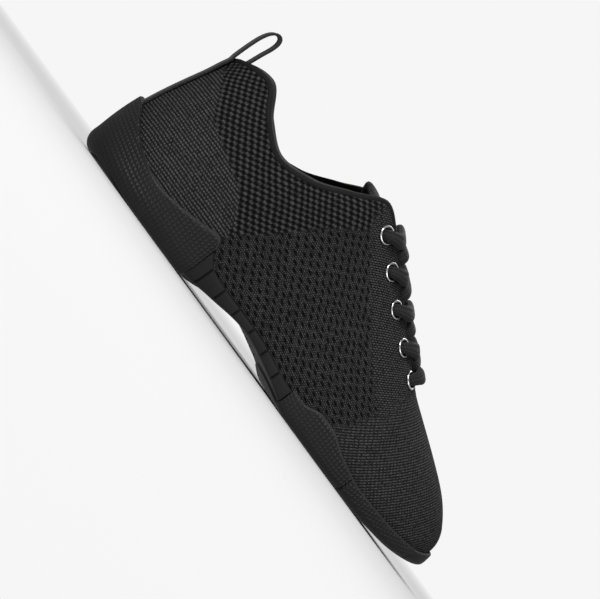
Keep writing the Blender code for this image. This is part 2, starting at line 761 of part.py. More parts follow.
def flat_tube(name, path, material, sides=6):
    """A closed strip of oval section along a path of points and the normals its broad face turns to."""
    points = np.array([point for point, _ in path])
    tangents = np.gradient(points, axis=0)
    vertices = []
    for (point, normal), tangent in zip(path, tangents):
        broad = np.cross(normal, tangent)
        broad /= np.linalg.norm(broad)
        thin = np.cross(tangent, broad)
        thin /= np.linalg.norm(thin)
        for k in range(sides):
            angle = 2 * math.pi * (k + 0.5) / sides
            offset = broad * LACE_HALF_WIDTH * math.cos(angle) + thin * LACE_HALF_THICKNESS * math.sin(angle)
            vertices.append(point + offset)
    faces = [
        (i * sides + k, i * sides + (k + 1) % sides, (i + 1) * sides + (k + 1) % sides, (i + 1) * sides + k)
        for i in range(len(path) - 1)
        for k in range(sides)
    ]
    faces += [tuple(range(sides)), tuple(range(len(vertices) - sides, len(vertices)))]
    return new_object(name, vertices, faces, material)


def pull_loop():
    """Webbing that runs up the heel's back, makes a loop above the collar and goes down inside it."""
    heel_x = FEET[LATERAL][0][0, 0]
    controls = rib(LATERAL, heel_x)
    start = 45.0
    outside = [at for at in (on_rib(controls, t) for t in np.linspace(0.3, 1, 30)) if at[2] > start]
    collar = controls[3]
    stand_off = GAP + LOOP_THICKNESS / 2 + 0.3
    path = [(p[0] - stand_off, p[2]) for p in outside[::3]]
    base_z, crown_z = collar[2] + 2.0, LOOP_TOP - LOOP_THICKNESS / 2
    middle_x = collar[0] + KNIT_WALL / 2 + 1.0
    for angle in np.linspace(180, 0, 11):
        turn = math.radians(angle)
        share = math.sin(turn)
        width = LOOP_BULGE * (0.55 + 0.45 * share)
        lean = LOOP_LEAN * share
        path.append((middle_x + lean + width * math.cos(turn), base_z + (crown_z - base_z) * share**0.6))
    inside_x, inside_drop = collar[0] + KNIT_WALL + stand_off + 0.6, 9.0
    path += [(inside_x + 0.6, collar[2] + 1.0), (inside_x + 0.2, collar[2] - inside_drop)]
    points = np.array(path)
    tangent = np.gradient(points, axis=0)
    tangent /= np.linalg.norm(tangent, axis=1)[:, None]
    normal = np.stack([-tangent[:, 1], tangent[:, 0]], axis=1) * LOOP_THICKNESS / 2
    centre_y = float(axis(heel_x))
    vertices = []
    for p, n in zip(points, normal):
        for side, face in ((-1, -1), (1, -1), (1, 1), (-1, 1)):
            x, z = p + n * face
            vertices.append((x, centre_y + side * LOOP_WIDTH / 2, z))
    faces = [
        (i * 4 + k, i * 4 + (k + 1) % 4, i * 4 + 4 + (k + 1) % 4, i * 4 + 4 + k)
        for i in range(len(points) - 1)
        for k in range(4)
    ]
    faces += [(0, 1, 2, 3), tuple(range(len(vertices) - 4, len(vertices)))]
    return new_object("pull_loop", vertices, faces, "lace")


for old in list(bpy.data.objects):
    bpy.data.objects.remove(old)
MATERIALS = make_materials()
SHOE = bpy.data.objects.new("shoe", None)
bpy.context.scene.collection.objects.link(SHOE)

upper()
heel_pad()
arch_bridge()
forefoot_pad()
inlay("heel_patch", oval(HEEL_PATCH), 0.0, INLAY_DEPTH, "inlay")
inlay("ball_patch", patch_outline(BALL_PATCH), 0.0, INLAY_DEPTH, "inlay")
inlay("toe_patch", patch_outline(TOE_PATCH), 0.0, INLAY_DEPTH, "inlay")
insole()
tongue()
eyelets()
lace()
pull_loop()
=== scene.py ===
"""Dressed model of a low knitted cheer shoe for the right foot, standing empty on its split rubber sole.

X runs from heel to toe, +Y is the inner side and Z is up.
Tables hold millimetres unless a column says otherwise.
"""

import math
from contextlib import contextmanager

import bpy
import numpy as np
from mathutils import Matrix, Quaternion, Vector


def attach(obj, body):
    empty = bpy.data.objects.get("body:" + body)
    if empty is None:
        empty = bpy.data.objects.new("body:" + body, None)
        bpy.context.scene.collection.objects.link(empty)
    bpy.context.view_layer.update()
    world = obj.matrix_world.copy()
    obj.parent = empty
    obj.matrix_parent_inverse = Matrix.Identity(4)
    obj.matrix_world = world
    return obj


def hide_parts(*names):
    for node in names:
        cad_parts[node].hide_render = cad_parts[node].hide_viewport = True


MM = 0.001
HAIR = 1e-6
LENGTH, BALL_WIDTH, INSTEP_HEIGHT = 265.0, 92.0, 98.0
KNIT_WALL, RUBBER_WALL, GAP = 2.2, 2.7, 0.3
INSOLE_THICKNESS, INLAY_DEPTH = 3.5, 1.6
GROOVE_WIDTH, GROOVE_DEPTH = 1.3, 1.2
LATERAL, MEDIAL = -1, 1

# Outline of the rubber seen from above: x in percent of LENGTH from the heel, y in percent of BALL_WIDTH.
OUTLINE = (
    (0.0, -3.8), (4.0, -26.5), (13.0, -41.5), (24.0, -43.0), (38.0, -41.5), (52.0, -46.5), (62.0, -50.0),
    (76.0, -45.0), (89.2, -32.5), (97.4, -15.5), (100.0, 2.0), (98.0, 22.0), (91.4, 38.0), (81.5, 47.0),
    (68.5, 50.0), (56.0, 40.5), (41.0, 27.5), (26.0, 31.0), (13.0, 33.5), (4.0, 18.5),
)
# x in percent of LENGTH, height of the tread and of the footbed, and the foot's centre line.
PROFILE = (
    (0.0, 0.0, 11.5, -3.5), (26.0, 0.0, 11.5, -3.5), (34.0, 4.0, 11.6, -2.5), (42.5, 7.8, 12.0, -1.0),
    (51.5, 4.2, 9.4, 0.5), (58.5, 0.0, 7.2, 1.5), (77.5, 0.0, 6.6, 2.5), (88.0, 2.0, 8.4, 2.5),
    (100.0, 9.0, 14.8, 1.0),
)
# Rounding of the sole's lower edge: x in percent, width in plan, height.
EDGE = (
    (0.0, 7.0, 9.0), (12.0, 6.0, 9.0), (26.0, 6.0, 9.0), (42.0, 6.0, 4.0), (60.0, 5.0, 8.0), (80.0, 5.0, 7.0),
    (100.0, 6.0, 6.0),
)
# Top edge of the rubber: x in percent, height above the floor, distance that it stands off the knit.
RIM = (
    (1.0, 35.5, 3.0), (3.0, 28.5, 2.8), (7.5, 20.0, 2.2), (13.0, 16.8, 1.6), (17.0, 18.4, 1.6),
    (22.0, 22.0, 1.5), (26.5, 25.4, 1.5), (28.6, 17.0, 1.2), (34.0, 14.6, 1.2), (44.0, 14.6, 1.2),
    (54.0, 11.8, 1.2), (58.0, 11.6, 1.5), (62.0, 15.6, 1.5), (65.0, 15.6, 1.5), (70.0, 11.8, 1.5),
    (77.0, 9.2, 1.5), (88.0, 10.8, 1.5), (95.0, 14.0, 1.5), (99.0, 19.0, 1.5),
)
# Where a line from a wall's foot meets the spine of the sole, both in percent of LENGTH.
SPINE = ((1.0, 11.0), (12.0, 17.5), (27.6, 33.4), (55.5, 51.5), (74.4, 78.6), (88.0, 86.5), (99.0, 92.0))
# Ribs of the last: foot and top_x in percent of LENGTH, half in percent of BALL_WIDTH, top_z in percent of
# INSTEP_HEIGHT, then flare in degrees and rise in mm at the foot, fall in degrees and reach in mm at the top.
RIB_COLUMNS = ("foot", "top_x", "half", "top_z", "flare", "rise", "fall", "reach")
RIBS = (
    (1.14, 4.3, 0.0, 79.6, 4, 24, 80, 22),
    (4.0, 5.9, 13.0, 83.0, 5, 24, 80, 22),
    (9.5, 10.0, 23.0, 86.2, 5, 22, 80, 20),
    (15.5, 15.3, 28.5, 75.5, 4, 20, 80, 16),
    (22.0, 21.7, 31.0, 68.9, 3, 19, 76, 15),
    (29.0, 28.7, 31.0, 75.5, 3, 19, 68, 16),
    (36.0, 35.0, 28.0, 88.8, 3, 20, 55, 17),
    (41.0, 40.3, 22.5, 99.5, 4, 21, 44, 18),
    (46.0, 44.8, 20.0, 95.4, 4, 22, 38, 18),
    (57.0, 55.0, 18.0, 80.6, 5, 21, 34, 18),
    (68.5, 66.5, 15.5, 66.0, 6, 19, 28, 17),
    (73.2, 70.8, 10.5, 61.0, 7, 18, 12, 19),
    (75.2, 72.4, 0.0, 59.8, 7, 18, 0, 24),
    (81.5, 78.0, 0.0, 54.6, 8, 17, 0, 23),
    (90.0, 86.0, 0.0, 46.9, 9, 15, 0, 19),
    (96.5, 91.5, 0.0, 40.8, 11, 11, 0, 14),
    (98.86, 93.8, 0.0, 37.2, 13, 9, 0, 11),
)
# Feet of the rib at the throat's front end and of the last one that has its own slope along the ridge.
THROAT_END_FOOT, RIDGE_END_FOOT = 75.2, 98.2

# Feet of the sole's ends and lines, in percent of LENGTH.
HEEL_PAD_END, FOREFOOT_PAD_START = 27.6, 55.5
FLEX_GROOVE_FOOT, CREASE_FOOT, TOE_LINE_FOOT = 74.4, 82.0, 94.0
ARCH_RECESS, ARCH_END_GAP, ARCH_GROOVES, ARCH_GROOVE_SPAN = 1.1, 0.5, 12, (30.2, 53.6)
# Oval patch and ring groove under the heel: centre x, centre y, half length and half width.
HEEL_PATCH = (-90.4, -3.7, 29.2, 22.7)
HEEL_RING = (-90.4, -4.6, 35.6, 28.6)
OVAL_POWER = 2.4
# Corners of the turning patches in plan.
BALL_PATCH = (
    (18.0, 30.5), (12.6, 14.0), (12.0, -4.0), (15.0, -18.0), (23.0, -27.0), (34.0, -30.0), (48.0, -28.5),
    (66.0, -24.5), (71.0, -14.0), (72.5, 2.0), (69.5, 19.0), (64.0, 31.0), (56.0, 39.0), (44.0, 40.0),
    (30.0, 36.5),
)
TOE_PATCH = (
    (87.5, 36.0), (88.0, 25.5), (95.5, 11.0), (103.5, -1.5), (109.0, -5.0), (115.0, -1.5), (119.0, 7.5),
    (116.0, 19.0), (106.5, 29.0), (96.0, 35.5),
)
EYELET_FEET = (45.6, 52.2, 58.6, 64.8, 70.6)
EYELET_SETBACK, EYELET_FLANGE_RADIUS, EYELET_HOLE_RADIUS = 7.0, 4.7, 3.6
# x in percent of LENGTH, crown in percent of INSTEP_HEIGHT, half width, radius across.
TONGUE = (
    (36.6, 104.0, 18.0, 30.0),
    (40.3, 100.0, 22.0, 28.0),
    (44.8, 96.0, 21.5, 26.5),
    (55.0, 81.0, 19.8, 25.5),
    (64.0, 69.8, 19.0, 27.0),
    (69.0, 61.7, 16.5, 30.0),
    (71.0, 58.7, 14.5, 31.0),
    (73.0, 54.9, 13.0, 32.0),
    (76.0, 49.5, 11.0, 34.0),
)


def along(percent):
    """x in mm of a place in percent of the length from the heel."""
    return (np.asarray(percent, float) / 100.0 - 0.5) * LENGTH


def hermite(a, b, leave, arrive, t):
    """The way from a to b, with the runs on leaving a and on arriving at b."""
    between = a * (1 + 2 * t) * (1 - t) ** 2 + b * t * t * (3 - 2 * t)
    return between + leave * t * (1 - t) ** 2 + arrive * t * t * (t - 1)


def smooth(table_x, table_y, x):
    """Monotone cubic through a table, held level beyond its ends."""
    xs, ys = np.asarray(table_x, float), np.asarray(table_y, float)
    step, slope = np.diff(xs), np.diff(ys) / np.diff(xs)
    tangent = np.concatenate([[slope[0]], np.zeros(len(xs) - 2), [slope[-1]]])
    for i in range(1, len(xs) - 1):
        if slope[i - 1] * slope[i] > 0:
            before, after = 2 * step[i] + step[i - 1], step[i] + 2 * step[i - 1]
            tangent[i] = (before + after) / (before / slope[i - 1] + after / slope[i])
    x = np.clip(x, xs[0], xs[-1])
    i = np.clip(np.searchsorted(xs, x, side="right") - 1, 0, len(xs) - 2)
    t = (x - xs[i]) / step[i]
    return hermite(ys[i], ys[i + 1], step[i] * tangent[i], step[i] * tangent[i + 1], t)


def column(table, index, x):
    rows = np.array(table, float)
    return smooth(along(rows[:, 0]), rows[:, index], x)


def run_along(points):
    """Distance of each point from the first, along the line through them."""
    return np.concatenate([[0], np.cumsum(np.linalg.norm(np.diff(points, axis=0), axis=1))])


def tread(x):
    return column(PROFILE, 1, x)


def bed(x):
    return column(PROFILE, 2, x)


def axis(x):
    return column(PROFILE, 3, x)


def spine_at(x):
    """Where the lines from the walls' feet at these x meet the sole's spine, in plan."""
    table = along(SPINE)
    spine_x = smooth(table[:, 0], table[:, 1], x)
    return np.column_stack([spine_x, axis(spine_x)])


def closed_curve(points, count):
    """count points of the periodic cubic spline through the given ones, evenly spread by chord."""
    p = np.array(points, float)
    n = len(p)
    chord = np.linalg.norm(np.roll(p, -1, 0) - p, axis=1)
    matrix, right = np.zeros((n, n)), np.zeros(p.shape)
    for i in range(n):
        before, after, following = chord[i - 1], chord[i], (i + 1) % n
        matrix[i, i - 1] += before
        matrix[i, i] += 2 * (before + after)
        matrix[i, following] += after
        right[i] = 6 * ((p[following] - p[i]) / after - (p[i] - p[i - 1]) / before)
    bend = np.linalg.solve(matrix, right)
    knots = np.concatenate([[0], np.cumsum(chord)])
    s = np.linspace(0, knots[-1], count, endpoint=False)
    i = np.searchsorted(knots, s, side="right") - 1
    following = (i + 1) % n
    h, a = chord[i][:, None], ((knots[i + 1] - s) / chord[i])[:, None]
    b = 1 - a
    return (
        a * p[i] + b * p[following]
        + ((a**3 - a) * bend[i] + (b**3 - b) * bend[following]) * h * h / 6
    )


def outline_sides(inset):
    """For each side, points and outward normals in plan from heel to toe, inset from the rubber's outline."""
    curve = closed_curve([(float(along(x)), y / 100 * BALL_WIDTH) for x, y in OUTLINE], 1600)
    tangent = np.roll(curve, -1, 0) - np.roll(curve, 1, 0)
    tangent /= np.linalg.norm(tangent, axis=1)[:, None]
    normal = np.stack([tangent[:, 1], -tangent[:, 0]], axis=1)
    inner = curve - inset * normal
    heel, toe = int(inner[:, 0].argmin()), int(inner[:, 0].argmax())
    count = len(inner)
    lateral = np.arange(heel, toe + 1 if toe > heel else toe + count + 1) % count
    medial = np.arange(heel if heel > toe else heel + count, toe - 1, -1) % count
    return {side: (inner[i], normal[i]) for side, i in ((LATERAL, lateral), (MEDIAL, medial))}


FEET = outline_sides(GAP + RUBBER_WALL)
HEEL_X, TOE_X = float(FEET[LATERAL][0][0, 0]), float(FEET[LATERAL][0][-1, 0])


def feet_at(side, x, feet=FEET):
    """Points and outward normals in plan where the upper's wall stands, at these x."""
    points, normals = feet[side]
    order = np.maximum.accumulate(points[:, 0] + np.arange(len(points)) * 1e-9)
    y = np.interp(x, order, points[:, 1])
    normal = np.stack([np.interp(x, order, normals[:, i]) for i in (0, 1)], axis=-1)
    return np.stack([x, y], axis=-1), normal / np.linalg.norm(normal, axis=-1, keepdims=True)


def stations(low, high, spacing):
    """x of places spread evenly along the lateral outline between two places in percent of LENGTH."""
    points = FEET[LATERAL][0]
    length = run_along(points)
    first, last = np.interp(along((low, high)), points[:, 0], length)
    count = max(2, round((last - first) / spacing) + 1)
    x = np.interp(np.linspace(first, last, count), length, points[:, 0])
    return np.clip(x, HEEL_X + HAIR, TOE_X - HAIR)


def ribs(side, x):
    """The four control points of each rib whose foot is at these x."""
    x = np.atleast_1d(np.asarray(x, float))
    rows = np.array(RIBS, float)

    def value(name, at=x):
        return smooth(along(rows[:, 0]), rows[:, RIB_COLUMNS.index(name)], at)

    point, normal = feet_at(side, x)
    outward = np.column_stack([normal, np.zeros(len(x))])
    foot = np.column_stack([point, bed(x) + GAP])
    top_x, top_z = along(value("top_x")), value("top_z") / 100 * INSTEP_HEIGHT
    top = np.column_stack([top_x, axis(top_x) + side * value("half") / 100 * BALL_WIDTH, top_z])
    flare, fall = np.radians(value("flare"))[:, None], np.radians(value("fall"))[:, None]
    up = np.array([[0.0, 0.0, 1.0]])
    leave = outward * np.sin(flare) + up * np.cos(flare)
    arrive = outward * np.cos(fall) - up * np.sin(fall)
    at = np.minimum(x, along(RIDGE_END_FOOT))
    run = along(value("top_x", at + 1) - value("top_x", at)) + LENGTH / 2
    climb = (value("top_z", at + 1) - value("top_z", at)) / 100 * INSTEP_HEIGHT
    arrive[:, 2] += np.where(x >= along(THROAT_END_FOOT), outward[:, 0] * climb / run, 0)
    lower, upper = foot + value("rise")[:, None] * leave, top + value("reach")[:, None] * arrive
    return np.stack([foot, lower, upper, top], axis=1)


def on_ribs(controls, shares):
    """Points of each rib at its own row of shares."""
    t = shares[:, :, None]
    a, b, c, d = (controls[:, None, i] for i in range(4))
    return a * (1 - t) ** 3 + 3 * b * (1 - t) ** 2 * t + 3 * c * (1 - t) * t * t + d * t**3


def even_shares(controls, rows):
    """Shares that spread rows of points evenly up each rib, and the ribs' lengths."""
    fine = np.linspace(0, 1, 81)
    curve = on_ribs(controls, np.tile(fine, (len(controls), 1)))
    climb = np.cumsum(np.linalg.norm(np.diff(curve, axis=1), axis=2), axis=1)
    climb = np.concatenate([np.zeros((len(controls), 1)), climb], axis=1)
    even = np.linspace(0, 1, rows)
    return np.array([np.interp(even * c[-1], c, fine) for c in climb]), climb[:, -1]


def at_heights(controls, z):
    """The point of each rib at its own height, in its lower half."""
    fine = np.linspace(0, 0.7, 60)
    curve = on_ribs(controls, np.tile(fine, (len(controls), 1)))
    shares = np.array([np.interp(h, c[:, 2], fine) for h, c in zip(z, curve)])
    return on_ribs(controls, shares[:, None])[:, 0]


def surface(side, x, t):
    """Point and outward unit normal of the upper at rib foot x and share t of the way up."""
    near = ribs(side, [x - 0.3, x, x + 0.3])
    share = np.array([[max(t - 0.01, 0), t, min(t + 0.01, 1)]] * 3)
    p = on_ribs(near, share)
    normal = np.cross(p[2, 1] - p[0, 1], p[1, 2] - p[1, 0]) * -side
    return p[1, 1], normal / np.linalg.norm(normal)


def eyelet_places():
    """(side name, number from the top, point, normal) of each eyelet on the upper's outside."""
    places = []
    for side, side_name in ((LATERAL, "lateral"), (MEDIAL, "medial")):
        for number, percent in enumerate(EYELET_FEET, 1):
            x = float(along(percent))
            shares = np.linspace(0.6, 1, 60)
            points = on_ribs(ribs(side, x), shares[None])[0]
            to_edge = np.linalg.norm(points - points[-1], axis=1)
            t = float(np.interp(-EYELET_SETBACK, -to_edge, shares))
            places.append((side_name, number, *surface(side, x, t)))
    return places


def unit(v):
    return v / np.linalg.norm(v, axis=-1, keepdims=True)


def ease(low, high, x):
    """0 below low, 1 above high, and a soft step between."""
    t = np.clip((np.asarray(x, float) - low) / (high - low), 0, 1)
    return t * t * (3 - 2 * t)


# Modelling steps

def only(obj):
    """Selects one object alone and makes it active."""
    bpy.ops.object.select_all(action="DESELECT")
    obj.select_set(True)
    bpy.context.view_layer.objects.active = obj
    return obj


@contextmanager
def editing(obj, everything=True):
    """Edit mode on one object, with all of it selected or with the selection that it has."""
    only(obj)
    bpy.ops.object.mode_set(mode="EDIT")
    if everything:
        bpy.ops.mesh.select_all(action="SELECT")
    yield
    bpy.ops.object.mode_set(mode="OBJECT")


def read(items, field, width=1, kind=np.float32):
    """One field of a mesh's points, edges, corners or faces, a row for each."""
    values = np.zeros(len(items) * width, kind)
    items.foreach_get(field, values)
    return values.reshape(-1, width)


def points_of(mesh):
    """The mesh's points in mm."""
    return read(mesh.vertices, "co", 3) * 1000


def move_points(mesh, points):
    """Moves the mesh's points to places in mm."""
    mesh.vertices.foreach_set("co", (points.reshape(-1, 3) * MM).astype(np.float32).ravel())
    mesh.update()


def mark(mesh, name, kind, field, values):
    """Gives each point of a mesh a value of its own, for the materials."""
    attribute = mesh.attributes.new(name, kind, "POINT")
    attribute.data.foreach_set(field, np.asarray(values, np.float32).ravel())


def added(primitive, name, **settings):
    """A new named object from one of the primitives."""
    bpy.ops.object.select_all(action="DESELECT")
    primitive(**settings)
    obj = bpy.context.object
    obj.name = obj.data.name = name
    return obj


def copied(obj):
    copy = obj.copy()
    copy.data = obj.data.copy()
    bpy.context.scene.collection.objects.link(copy)
    return copy


def shaped_grid(name, points, uv=None):
    """A grid primitive whose points are moved onto a surface, given row by row in mm."""
    rows, columns = points.shape[:2]
    sizes = {"x_subdivisions": columns - 1, "y_subdivisions": rows - 1, "size": 1}
    obj = added(bpy.ops.mesh.primitive_grid_add, name, **sizes)
    if uv is not None:
        corners = read(obj.data.loops, "vertex_index", kind=np.int32).ravel()
        placed = uv.reshape(-1, 2)[corners].astype(np.float32)
        obj.data.uv_layers[0].data.foreach_set("uv", placed.ravel())
    move_points(obj.data, points)
    return obj


def close_seams(obj, outwards=True, reach=0.02):
    """Merges points that meet, within a reach in mm, and turns the faces outwards."""
    with editing(obj):
        bpy.ops.mesh.remove_doubles(threshold=reach * MM)
        bpy.ops.mesh.dissolve_degenerate(threshold=reach / 10 * MM)
        if outwards:
            bpy.ops.mesh.select_all(action="SELECT")
            bpy.ops.mesh.normals_make_consistent(inside=False)
    return obj


def apply_modifier(obj, kind, **settings):
    only(obj)
    modifier = obj.modifiers.new(kind.lower(), kind)
    for name, value in settings.items():
        setattr(modifier, name, value)
    bpy.ops.object.modifier_apply(modifier=modifier.name)
    return obj


def carve(obj, cutter, operation="DIFFERENCE"):
    """Applies a Boolean with a cutter, removes the cutter and merges the slivers along the cut."""
    apply_modifier(obj, "BOOLEAN", operation=operation, object=cutter, solver="EXACT")
    bpy.data.objects.remove(cutter)
    return close_seams(obj, outwards=False, reach=0.002)


def joined(first, *others):
    only(first)
    for other in others:
        other.select_set(True)
    bpy.ops.object.join()
    return first


def prism(name, outline, low, high):
    """A closed solid between two heights over an outline in plan: a filled circle, moved and extruded."""
    sizes = {"vertices": len(outline), "radius": 1, "fill_type": "NGON"}
    obj = added(bpy.ops.mesh.primitive_circle_add, name, **sizes)
    move_points(obj.data, np.column_stack([outline, np.full(len(outline), low)]))
    with editing(obj):
        bpy.ops.mesh.extrude_region_move(TRANSFORM_OT_translate={"value": (0, 0, (high - low) * MM)})
        bpy.ops.mesh.select_all(action="SELECT")
        bpy.ops.mesh.normals_make_consistent(inside=False)
    return obj


def finish_piece(obj, finish, slot, *nodes, angle=35):
    """Smooths a finished piece, gives it the finish, if any, and lets it stand for its solids."""
    only(obj)
    bpy.ops.object.shade_smooth_by_angle(angle=math.radians(angle))
    if finish:
        obj.data.materials.clear()
        obj.data.materials.append(finish)
    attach(obj, "root")
    if nodes:
        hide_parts(*nodes)
    return obj


# Materials

class Finish:
    """One procedural material, built node by node."""

    def __init__(self, name, colour, roughness, gloss=0.5, **shader):
        self.material = bpy.data.materials.new(name)
        self.material.use_nodes = True
        self.nodes, self.links = self.material.node_tree.nodes, self.material.node_tree.links
        self.shader = self.nodes["Principled BSDF"]
        self.shader.inputs["Specular IOR Level"].default_value = gloss
        self.fill(self.shader, base_color=colour, roughness=roughness, **shader)

    def put(self, socket, value):
        """Sets a socket to a number, a colour or another node's output."""
        if isinstance(value, bpy.types.NodeSocket):
            self.links.new(value, socket)
        elif isinstance(value, tuple) and len(value) == 3 and socket.type == "RGBA":
            socket.default_value = (*value, 1)
        else:
            socket.default_value = value

    def fill(self, node, **inputs):
        """Sets a node's inputs, named in small letters."""
        for name, value in inputs.items():
            self.put(node.inputs[name.replace("_", " ").title()], value)

    def node(self, kind, output=0, settings=None, **inputs):
        made = self.nodes.new(kind)
        for name, value in (settings or {}).items():
            setattr(made, name, value)
        self.fill(made, **inputs)
        return made.outputs[output]

    def math(self, operation, a, b=0.0, c=0.0):
        made = self.nodes.new("ShaderNodeMath")
        made.operation = operation
        for socket, value in zip(made.inputs, (a, b, c)):
            self.put(socket, value)
        return made.outputs[0]

    def ramp(self, value, *stops):
        """A colour ramp: stops of (place, colour)."""
        made = self.nodes.new("ShaderNodeValToRGB")
        elements = made.color_ramp.elements
        while len(elements) < len(stops):
            elements.new(0.5)
        for element, (place, colour) in zip(elements, stops):
            element.position, element.color = place, (*colour, 1)
        self.links.new(value, made.inputs[0])
        return made.outputs[0]

    def blend(self, mask, a, b):
        """a where the mask is 0 and b where it is 1, for plain values."""
        kept = self.math("MULTIPLY", a, self.math("SUBTRACT", 1.0, mask))
        return self.math("ADD", kept, self.math("MULTIPLY", b, mask))

    def object_place(self):
        return self.node("ShaderNodeTexCoord", output=3)

    def noise(self, scale, detail=2.0):
        return self.node("ShaderNodeTexNoise", vector=self.object_place(), scale=scale, detail=detail)

    def parts(self, vector):
        """The x, y and z of a vector."""
        made = self.nodes.new("ShaderNodeSeparateXYZ")
        self.links.new(vector, made.inputs[0])
        return made.outputs

    def uv(self, width, height):
        """The piece's own UV map in mm, as two values."""
        u, v, _ = self.parts(self.node("ShaderNodeUVMap", settings={"uv_map": "UVMap"}))
        return self.math("MULTIPLY", u, width), self.math("MULTIPLY", v, height)

    def attribute(self, name, output):
        """One of the piece's own attributes."""
        return self.node("ShaderNodeAttribute", output, {"attribute_name": name})

    def vector(self, x, y, z=0.0):
        return self.node("ShaderNodeCombineXYZ", x=x, y=y, z=z)

    def stitches(self, x, y, width, row, gap, offset=0.5):
        """Height of rounded stitches laid in rows: 1 on a stitch and 0 between stitches."""
        between = self.node(
            "ShaderNodeTexBrick", "Fac", {"offset": offset, "squash": 1.0}, vector=self.vector(x, y),
            scale=1.0, mortar_size=gap, mortar_smooth=1.0, bias=0.0, brick_width=width, row_height=row,
        )
        return self.math("SUBTRACT", 1.0, between)

    def courses(self, place, pitch):
        """Height of plain rounded rows."""
        climb = self.math("PINGPONG", place, pitch / 2)
        return self.math("SINE", self.math("MULTIPLY", climb, math.pi / pitch))

    def net(self, x, y, wide, tall, lean, low, high, stray):
        """Height of a net with leaning oval holes: 0 in a hole and 1 on the yarn between holes."""
        row = self.math("DIVIDE", y, tall)
        place = self.math("ADD", self.math("DIVIDE", x, wide), self.math("MULTIPLY", row, lean))
        away = self.node(
            "ShaderNodeTexVoronoi", "Distance", {"voronoi_dimensions": "2D"}, vector=self.vector(place, row),
            scale=1.0, randomness=stray,
        )
        return self.node("ShaderNodeMapRange", value=away, from_min=low, from_max=high)

    def scales(self, x, y, wide, tall, lean):
        """Height of leaning stitches between holes, like scales: 1 on a stitch and 0 in a hole."""
        leant = self.math("ADD", x, self.math("MULTIPLY", y, lean))
        ahead = self.math("COSINE", self.math("MULTIPLY", leant, 2 * math.pi / wide))
        long_wave = self.node("ShaderNodeClamp", value=self.math("MULTIPLY", ahead, 1.3), min=-1.0)
        short_wave = self.math("COSINE", self.math("MULTIPLY", y, 2 * math.pi / tall))
        narrow_wave = self.math("MULTIPLY", short_wave, self.math("ABSOLUTE", short_wave))
        wave = self.math("MULTIPLY", long_wave, narrow_wave)
        return self.node("ShaderNodeMapRange", value=wave, from_min=-0.55, from_max=0.6)

    def bump(self, height, strength, depth):
        """Adds relief of a depth in mm to the shader's normal."""
        below = self.shader.inputs["Normal"].links
        earlier = {"normal": below[0].from_socket} if below else {}
        sizes = {"strength": strength, "distance": depth * MM}
        self.fill(self.shader, normal=self.node("ShaderNodeBump", height=height, **sizes, **earlier))
        return self

    def relief(self, height, hollow, top, strength, depth):
        """Paints shade into a relief's hollows and a highlight onto its tops, through a colour ramp on its
        height, and adds its bump.
        """
        self.fill(self.shader, base_color=self.ramp(height, (0.0, hollow), (1.0, top)))
        return self.bump(height, strength, depth)


# Length and width in mm that each piece's whole UV map stands for.
UPPER_SPREAD, TONGUE_SPREAD, TAPE_SPREAD = (660.0, 120.0), (660.0, 90.0), (700.0, 12.0)
WEBBING_SPREAD, LACE_SPREAD, SOLE_SPREAD = (160.0, 22.4), (100.0, 16.0), (400.0, 100.0)


def knit_finish():
    """Black engineered knit: coarse, counter, pierced, toe and eyestay zones by the piece's own marks."""
    f = Finish("black_knit", (0.02, 0.02, 0.021), 0.75, gloss=0.04)
    u, v = f.uv(*UPPER_SPREAD)
    stray = f.noise(70.0, detail=1.0)
    from_heel = f.math("ABSOLUTE", f.math("SUBTRACT", u, UPPER_SPREAD[0] / 2))
    u = f.math("ADD", from_heel, f.math("MULTIPLY", stray, 1.6))
    v = f.math("ADD", v, f.math("MULTIPLY", stray, 0.9))
    split = f.nodes.new("ShaderNodeSeparateColor")
    f.links.new(f.attribute("zones", "Color"), split.inputs[0])
    in_counter, in_pierced, in_toe = split.outputs

    def between(pattern, low, high):
        return f.math("ADD", f.math("MULTIPLY", pattern, high - low), low)

    def leaning(pitch, lean):
        return f.math("ADD", u, f.math("MULTIPLY", f.math("PINGPONG", v, pitch), lean))

    yarn = f.stitches(leaning(0.55, 0.7), v, 2.4, 0.55, 0.26)
    coarse = f.math("MULTIPLY", f.scales(u, v, 4.8, 3.3, -0.3), between(yarn, 0.7, 1.05))
    beads = f.stitches(f.math("ADD", u, f.math("MULTIPLY", v, 0.3)), v, 1.5, 1.6, 0.62)
    counter = between(f.math("MULTIPLY", f.courses(v, 1.6), between(beads, 0.42, 1.0)), 0.25, 0.95)
    slanted = f.stitches(f.math("ADD", u, v), f.math("SUBTRACT", v, u), 2.8, 1.5, 0.6)
    twill = between(slanted, 0.22, 0.9)
    ahead, across, _ = f.parts(f.attribute("toe_place", "Vector"))
    purl = f.stitches(across, ahead, 1.5, 1.3, 0.52)
    toe = between(f.math("MULTIPLY", f.courses(ahead, 1.3), between(purl, 0.45, 1.0)), 0.27, 0.86)
    fine = f.stitches(leaning(0.95, 0.6), v, 1.2, 0.95, 0.4)
    holes = f.net(u, v, 5.6, 2.65, 0.5, 0.13, 0.32, 0.2)
    pierced = f.math("MULTIPLY", between(fine, 0.32, 0.86), holes)
    height = f.blend(in_counter, coarse, counter)
    height = f.blend(in_pierced, height, pierced)
    height = f.blend(in_toe, height, toe)
    height = f.blend(f.attribute("zones", "Alpha"), height, twill)
    fuzz = f.noise(1100.0, detail=3.0)
    lit = f.math("MULTIPLY", height, between(fuzz, 0.0, 2.0))
    # Painted shade and highlight: the ramp on height darkens the knit's holes and gaps and lightens the tops
    # of its stitches.
    hollow, body, top = (0.0022, 0.0022, 0.0023), (0.013, 0.013, 0.0134), (0.074, 0.074, 0.075)
    f.fill(f.shader, base_color=f.ramp(lit, (0.0, hollow), (0.45, body), (1.0, top)))
    f.bump(fuzz, 0.3, 0.12)
    return f.bump(height, 0.9, 0.6).material


